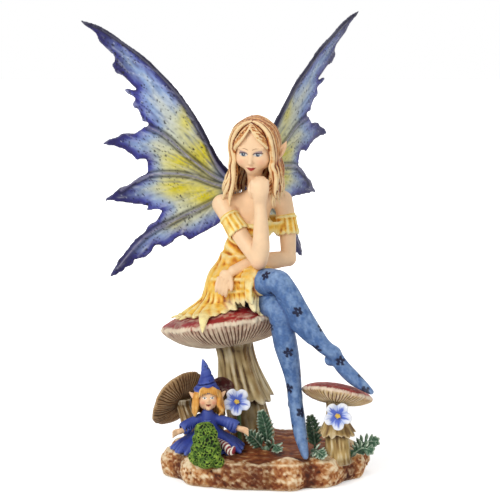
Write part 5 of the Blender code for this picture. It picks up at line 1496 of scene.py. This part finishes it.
    # striped stocking
    leg = [(*(body + [4, -6, 5]), 1.9), (*(body + [7.6, -10.5, 4.6]), 1.75), (*(body + [9.4, -13, 3]), 1.5),
           (*(body + [10.4, -14.4, 3.6]), 1.25), (*(body + [11, -14.8, 5.2]), 0.8)]
    clay = Clay((-24, -37, 11), (-8, -20, 22), pixie["stockingStep"] * coarse)
    clay.limb(leg, 6)
    points, faces = clay.surface()
    length = (points - (body + [4, -6, 5])) @ unit([6.4, -8.4, -1.2])
    stripes = rise(np.abs((length / pixie["stripeGap"]) % 1 - 0.5), 0.2, 0.28)
    paint = over(np.tile(linear(pixie["sock"]), (len(points), 1)), stripes, pixie["stripe"])
    makePiece("pixieStocking", points, faces, paint, resins["stockings"], ["pixie"])


# moss

moss = {"step": 0.34, "light": "93AE3C", "green": "56772A", "deep": "121C0C", "shade": "2F4A14"}


def makeMoss():
    foot = np.array([-24.6, -34.7, 12.6])
    clay = Clay(foot - [10, 8, 4], foot + [10, 11, 20], moss["step"] * coarse)
    for i in range(26):
        share = i / 25
        spread = 5.0 * (1 - 0.6 * share)
        spot = foot + [math.cos(2.4 * i) * spread, math.sin(2.4 * i) * spread * 0.62 + 3.0 * share,
            -1.0 + 13.4 * share]
        clay.ball(spot, (2.4 - 0.2 * share,) * 3, soft=0.7)
    clay.limb([(*(foot + [0, 1, 0.5]), 4.3), (*(foot + [0.4, 3, 12.2]), 2.7)], 3, soft=1.0)
    axes = [clay.low[i] + clay.step * np.arange(clay.far.shape[i]) for i in range(3)]
    grid = np.stack(np.meshgrid(*axes, indexing="ij"), -1)
    bent = grid + 0.8 * mottle(grid, 1.6, 78)[..., None]
    near, second = pebbles(bent, 1.35, 71)
    fine, fineSecond = pebbles(grid, 0.8, 75)
    holes = 0.95 * rise(second - near, 0.1, 0.75) - 0.3
    clay.far = np.clip(clay.far + holes - 0.22 * (1 - rise(fineSecond - fine, 0, 0.4)), -farthest,
        farthest).astype(np.float32)
    points, faces = clay.surface()
    near, second = pebbles(points + 0.8 * mottle(points, 1.6, 78)[..., None], 1.35, 71)

    def paintMoss(points, normals, hollow):
        # the holes of the net are painted darker, as shade inside them
        share = 0.52 - 0.85 * hollow - 0.6 * rise(second - near, 0.15, 0.6) + 0.26 * mottle(points, 1.6, 77)
        return ramp(share, (0, moss["deep"]), (0.35, moss["shade"]), (0.6, moss["green"]), (1, moss["light"]))

    makePiece("mossClump", points, faces, paintMoss, resins["moss"], ["moss"])


# flowers

flowers = {"step": 0.23, "white": "F4F6FB", "blue": "3A58C4", "sky": "8FA8E4", "gold": "E0B850",
    "goldDark": "A8641C",
           "back": "4E7A34", "stalk": "6A8E48", "stalkDark": "1E3A1A", "stalkStep": 0.25}


def makeFlower(name, node, centre, facing, stalk, turned):
    facing = unit(facing)
    side = unit(np.cross([0, 0, 1], facing))
    up = np.cross(side, facing)
    centre = np.array(centre, float)
    clay = Clay(centre - 8.2, centre + 8.2, flowers["step"] * coarse)
    for i in range(5):
        turn = math.radians(90 + 72 * i + turned)
        out = side * math.cos(turn) + up * math.sin(turn)
        across = np.cross(facing, out)
        lift = unit(out * 0.95 + facing * 0.3)
        face = np.cross(across, lift)
        face = face * (1 if face @ facing > 0 else -1)
        clay.ball(centre + lift * 3.3 - facing * 0.2 + facing * 0.12 * (i % 2), (2.9, 2.55, 0.55),
            [lift, across, face], soft=0.15)
        clay.ball(centre + lift * 4.7 + facing * 0.15, (1.5, 2.2, 0.5), [lift, across, face], soft=0.3)
        for k in (-2, -1, 0, 1, 2):
            a = centre + lift * 1.2 + face * 0.75 + across * 0.2 * k
            b = centre + lift * 5.2 + face * 0.6 + across * 0.78 * k
            clay.limb([(*a, 0.16), (*((a + b) / 2 - face * 0.1), 0.14), (*b, 0.08)], 3, soft=0.25, cut=True)
    clay.ball(centre + facing * 0.9, (1.15, 1.15, 0.9), soft=0.2)
    for i in range(9):
        turn = 2.4 * i
        reach = 0.35 * math.sqrt(i)
        clay.ball(centre + facing * 1.75 + (side * math.cos(turn) + up * math.sin(turn)) * reach, (0.36,) * 3,
            soft=0.1)
    clay.ball(centre - facing * 0.8, (1.6, 1.6, 1.2), soft=0.5)
    points, faces = clay.surface()
    local = points - centre
    a, c, b = local @ side, local @ facing, local @ up
    far, turn = np.hypot(a, b), np.arctan2(b, a)
    petal = np.cos(5 * (turn - math.radians(90 + turned)))
    ray = mottle(np.stack([turn * 9, far * 0.4, 0 * far], -1), 1, 81)
    paint = np.tile(linear(flowers["white"]), (len(points), 1))
    paint = over(paint, 0.75 * rise(5.6 + 0.9 * ray - far, 0, 3.2), flowers["sky"])
    paint = over(paint, rise(3.9 + 1.4 * ray + 0.6 * petal - far, 0, 1.6) * 0.85, flowers["blue"])
    paint = over(paint, 0.5 * rise(-petal, 0.75, 1.0) * rise(far, 1.5, 3), flowers["sky"])
    paint = over(paint, (c > 0.9) * rise(1.45 - far, 0, 0.3), flowers["gold"])
    paint = over(paint, (c > 0.9) * 0.5 * rise(0.35 - np.abs(far - 1.25), 0, 0.3), flowers["goldDark"])
    paint = over(paint, rise(-c, 0.4, 1.2) * rise(2.4 - far, 0, 1), flowers["back"])
    if stalk:
        low = np.min([*stalk, centre], 0) - 2
        high = np.max([*stalk, centre], 0) + 2
        stem = Clay(low, high, flowers["stalkStep"] * coarse)
        stem.limb([(*centre, 0.8)] + [(*p, 0.85) for p in stalk], 6)
        more, moreFaces = stem.surface()
        faces = np.vstack([faces, moreFaces + len(points)])
        points = np.vstack([points, more])
        paint = np.vstack([paint, ramp(0.5 + 0.4 * mottle(more, 1.2, 83), (0, flowers["stalkDark"]),
            (1, flowers["stalk"]))])
    makePiece(name, points, faces, paint, resins["petal"], [node])


# ferns

ferns = {"step": 0.29, "dark": "1B3326", "green": "3E6247", "pale": "C9D8BE", "leaf": 4.7, "leafGap": 1.75}


def makeFern(name, node, fronds):
    rows = np.array([p for frond in fronds for p in frond], float)
    clay = Clay(rows.min(0) - [6, 6, 2], rows.max(0) + [6, 6, 6], ferns["step"] * coarse)
    clay.ball(np.mean([frond[0] for frond in fronds], 0) + [0, 0, 0.8], (1.9, 1.9, 1.5))
    ribs = []
    for frond in fronds:
        path = smoothPath([(*p, 0.6) for p in frond], 5)
        path[:, 3] = np.linspace(0.62, 0.28, len(path))
        clay.limb(path, 1, soft=0.2)
        length = lengthsAlong(path)
        pairs = max(4, int(length[-1] / ferns["leafGap"]))
        for i in range(1, pairs + 1):
            at = length[-1] * (0.12 + 0.86 * i / pairs)
            spot = spotAlong(path, length, at)[:3]
            along = unit((spotAlong(path, length, at + 1) - spotAlong(path, length, at - 1))[:3])
            sideways = unit(np.cross(along, [0.25, -1, 0.35]))
            size = ferns["leaf"] * (0.32 + 0.68 * math.sin(math.pi * (0.22 + 0.74 * i / pairs)))
            face = unit(np.cross(along, sideways))
            for s in (-1, 1):
                tip = spot + unit(sideways * s + along * 0.75) * size
                mid = (spot + tip) / 2 + along * 0.25 + face * 0.3
                clay.limb([(*spot, 0.3), (*mid, 0.8), (*(tip * 0.85 + spot * 0.15), 0.42), (*tip, 0.14)], 3,
                    soft=0.1, flat=(face, 0.55))
                ribs.append((spot, tip))
    points, faces = clay.surface()
    ribs = np.array(ribs)

    def paintFern(points, normals, hollow):
        gap = np.full(len(points), 9.0)
        place = np.zeros(len(points))
        for a, b in ribs:
            t = np.clip((points - a) @ (b - a) / ((b - a) @ (b - a)), 0, 1)
            d = np.linalg.norm(points - a - t[:, None] * (b - a), axis=1)
            place = np.where(d < gap, t, place)
            gap = np.minimum(gap, d)
        # faces that point up are painted lighter, as lit from above
        share = 0.25 + 0.55 * rise(gap, 0.35, 0.85) * rise(place, 0.1, 0.5) + 0.25 * normals[:,
            2] - 0.4 * hollow + 0.2 * mottle(points, 0.9, 91)
        return ramp(share, (0, ferns["dark"]), (0.45, ferns["green"]), (1, ferns["pale"]))

    makePiece(name, points, faces, paintFern, resins["fern"], [node])


# paints and finishes
resins = {
    "skin": paintedResin("hand-painted resin, flesh, satin sealer", {
        "grain": 0.5, "blotch": 4.0, "uneven": 0.05, "wash": 0.55, "washFrom": 0.1, "washTo": 0.6,
        "washColour": "A8623A",
        "ridge": 0.1, "ridgeColour": "FFF0DC", "bump": 0.08, "rough": 0.42, "coat": 0.06}),
    "hair": paintedResin("hand-painted resin, blond dry-brushed hair", {
        "grain": 0.4, "uneven": 0.08, "wash": 0.85, "washFrom": 0.04, "washTo": 0.28, "washColour": "6A2A14",
        "ridge": 0.3, "ridgeFrom": 0.16, "ridgeTo": 0.6, "ridgeColour": "F8E2BC", "bump": 0.2,
        "rough": 0.48}),
    "dress": paintedResin("hand-painted resin, yellow cloth, dry-brushed", {
        "blotch": 2.2, "wash": 0.7, "washFrom": 0.08, "washTo": 0.6, "washColour": "8A4410",
        "ridge": 0.3, "ridgeFrom": 0.15, "ridgeColour": "FBF0B8", "bump": 0.3, "rough": 0.52}),
    "stockings": paintedResin("hand-painted resin, blue stockings", {
        "grain": 0.3, "blotch": 1.4, "uneven": 0.16, "wash": 0.6, "washFrom": 0.1, "washTo": 0.6,
        "washColour": "2A2E5C",
        "ridge": 0.12, "ridgeTo": 0.6, "ridgeColour": "C6D6EE", "bump": 0.2, "rough": 0.45}),
    "wing": paintedResin("airbrushed resin wing, speckled, satin sealer", {
        "grain": 0.3, "blotch": 2.4, "wash": 0.65, "washFrom": 0.04, "washTo": 0.3, "washColour": "14102E",
        "ridge": 0.1, "ridgeFrom": 0.15, "ridgeTo": 0.6, "ridgeColour": "D8DAEC", "bump": 0.3, "rough": 0.42,
        "coat": 0.03}),
    "toadstool": paintedResin("hand-painted resin toadstool, washed brown", {
        "grain": 0.4, "wash": 0.85, "washFrom": 0.04, "washTo": 0.35, "washColour": "3A2210",
        "ridge": 0.45, "ridgeFrom": 0.1, "ridgeTo": 0.5, "ridgeColour": "F4E8CC", "bump": 0.3,
        "rough": 0.55}),
    "rock": paintedResin("cast resin rock, washed brown and dry-brushed cream", {
        "grain": 0.5, "blotch": 4.0, "uneven": 0.16, "wash": 0.9, "washFrom": 0.03, "washTo": 0.4,
        "washColour": "3E1C0C",
        "ridge": 0.42, "ridgeFrom": 0.1, "ridgeTo": 0.5, "ridgeColour": "F2DAB4", "bump": 0.5,
        "rough": 0.68}),
    "gown": paintedResin("hand-painted resin, deep blue cloth", {
        "blotch": 2.0, "washFrom": 0.06, "washTo": 0.4, "washColour": "121438",
        "ridge": 0.22, "ridgeFrom": 0.14, "ridgeTo": 0.6, "ridgeColour": "94A4DC", "bump": 0.25}),
    "moss": paintedResin("flocked resin moss, dry-brushed lime", {
        "grain": 0.3, "blotch": 1.2, "uneven": 0.2, "wash": 0.85, "washFrom": 0.04, "washTo": 0.4,
        "washColour": "0E1A08",
        "ridge": 0.34, "ridgeFrom": 0.1, "ridgeTo": 0.5, "ridgeColour": "A8BE58", "bump": 0.6, "rough": 0.75,
        "coat": 0.0}),
    "petal": paintedResin("hand-painted resin petals, satin", {
        "grain": 0.3, "blotch": 1.5, "uneven": 0.05, "wash": 0.45, "washFrom": 0.06, "washTo": 0.4,
        "washColour": "2A3A8A",
        "ridge": 0.2, "ridgeColour": "FFFFFF", "bump": 0.12, "rough": 0.42, "coat": 0.12}),
    "fern": paintedResin("hand-painted resin fern, pale edges", {
        "grain": 0.3, "blotch": 1.5, "uneven": 0.15, "wash": 0.7, "washFrom": 0.05, "washTo": 0.4,
        "washColour": "0C1A12",
        "ridge": 0.45, "ridgeFrom": 0.1, "ridgeTo": 0.45, "ridgeColour": "E4ECD8", "bump": 0.3}),
}
print(len(resins), "painted resins mixed")

for make in (makeHead, makeSkin, makeHair, makeDress, makeStockings):
    make()
makeWing("rightWing", "right_wing", seat + [-3, 6.6, 50.4], (-1, 0.09, 0), (0, 0, 1), 0)
makeWing("leftWing", "left_wing", seat + [11, 13, 52.8], (0.573, 0.81, -0.05), (0.169, 0, 1), 4.5)
for name in toadstools:
    makeToadstool(name)
makeBase()
makePixie()
makeMoss()
makeFlower("flowerByPixie", "left_flower", (-12, -13.6, 31.5), (0.1, -1, 0.25),
    [(-11, -11.4, 24), (-10.5, -12.6, 11)], 4)
makeFlower("flowerOnToadstool", "right_flower", (29.8, -31.2, 30.4), (0.04, -1, 0.18), [], -3)
makeFern("fernByPixie", "fern_by_pixie", [[(1, -16, 11), (0.5, -15.6, 19), (-1.5, -15, 27)],
                                          [(0, -18, 11), (-4, -20.5, 17), (-7, -22, 20)],
                                          [(1, -18, 11), (3.5, -22, 15.2), (5.5, -25.5, 14)]])
makeFern("fernByFoot", "fern_by_foot", [[(21, -20, 11), (20.5, -19.5, 19), (19, -19, 26)],
                                        [(20.5, -22, 11), (21, -29, 14.6), (24, -34, 14)]])
makeFern("fernByEdge", "fern_by_edge", [[(36.5, -22, 11), (41, -24, 16.5), (46.5, -24.5, 17.5)],
                                        [(36, -24, 11), (40, -28, 15.4), (44, -29.5, 15)]])


# floor, light and camera, in metres and watts

studio = {"floor": "FFFFFF", "floorHalf": 1.2, "keyPower": 7.6, "fillPower": 1.6, "topPower": 2.8,
    "worldStrength": 0.36,
          "floorGlow": 0.46, "glowFrom": 0.09, "glowTo": 0.3, "lens": 171.4, "elevation": 12,
          "aimX": -0.0063, "aimZ": 0.0937}


def seenRays(tree):
    # 1 for the rays that show the backdrop: the camera's, and those off gloss or through glass
    path = addNode(tree, "LightPath", {}, {})
    rays = path.outputs["Is Camera Ray"]
    for other in ("Is Glossy Ray", "Is Transmission Ray"):
        rays = addNode(tree, "Math", {"operation": "MAXIMUM"}, {0: rays, 1: path.outputs[other]}).outputs[0]
    return rays


def softbox(name, place, size, power):
    lamp = bpy.data.lights.new(name, "AREA")
    lamp.shape = "RECTANGLE"
    lamp.size, lamp.size_y = size
    lamp.energy = power
    box = bpy.data.objects.new(name, lamp)
    bpy.context.scene.collection.objects.link(box)
    box.location = place
    box.rotation_euler = (Vector((0, 0, 0.09)) - Vector(place)).to_track_quat("-Z", "Y").to_euler()


def setStage():
    scene = bpy.context.scene
    scene.view_settings.view_transform = "Standard"
    floor = bpy.data.meshes.new("floor")
    half = studio["floorHalf"]
    floor.from_pydata([(-half, -half, 0), (half, -half, 0), (half, half, 0), (-half, half, 0)], [],
        [(0, 1, 2, 3)])
    floorPiece = bpy.data.objects.new("floor", floor)
    scene.collection.objects.link(floorPiece)
    paper = bpy.data.materials.new("matte backdrop paper")
    paper.use_nodes = True
    tree = paper.node_tree
    tree.nodes.clear()
    shader = addNode(tree, "BsdfPrincipled", {"Base Color": (*linear(studio["floor"]) * 0.9, 1),
        "Roughness": 0.9}, {})
    # the camera sees the paper as white as the backdrop, still with the object's shadow
    place = addNode(tree, "TexCoord", {}, {}).outputs["Object"]
    away = addNode(tree, "VectorMath", {"operation": "LENGTH"}, {0: place}).outputs["Value"]
    level = addNode(tree, "MapRange", {"From Min": studio["glowFrom"], "From Max": studio["glowTo"],
        "To Min": studio["floorGlow"], "To Max": 1.0}, {"Value": away}).outputs[0]
    power = addNode(tree, "Math", {"operation": "MULTIPLY"}, {0: seenRays(tree), 1: level}).outputs[0]
    glow = addNode(tree, "Emission", {"Color": (1, 1, 1, 1)}, {"Strength": power})
    paperShade = addNode(tree, "AddShader", {}, {0: shader.outputs[0], 1: glow.outputs[0]})
    addNode(tree, "OutputMaterial", {}, {"Surface": paperShade.outputs[0]})
    floor.materials.append(paper)

    world = bpy.data.worlds.new("studio")
    scene.world = world
    world.use_nodes = True
    world.node_tree.nodes.clear()
    tree = world.node_tree
    ambient = addNode(tree, "Background", {"Color": (1, 1, 1, 1), "Strength": studio["worldStrength"]}, {})
    white = addNode(tree, "Background", {"Color": (1, 1, 1, 1), "Strength": 1.0}, {})
    mixed = addNode(tree, "MixShader", {}, {0: seenRays(tree), 1: ambient.outputs[0], 2: white.outputs[0]})
    addNode(tree, "OutputWorld", {}, {"Surface": mixed.outputs[0]})

    softbox("keyLight", (-0.55, -0.75, 0.75), (0.6, 0.6), studio["keyPower"])
    softbox("fillLight", (0.8, -0.6, 0.35), (0.6, 0.8), studio["fillPower"])
    softbox("topLight", (0.1, 0.3, 1), (0.8, 0.8), studio["topPower"])

    camera = bpy.data.objects.new("camera", bpy.data.cameras.new("camera"))
    scene.collection.objects.link(camera)
    camera.data.lens = studio["lens"]
    elevation = math.radians(studio["elevation"])
    target = Vector((studio["aimX"], -baseMiddleY * 0.001, studio["aimZ"]))
    away = Vector((0, -math.cos(elevation), math.sin(elevation)))
    camera.location = target + away
    camera.rotation_euler = (-away).to_track_quat("-Z", "Y").to_euler()
    scene.camera = camera
    print("stage, lamps and camera set")


setStage()
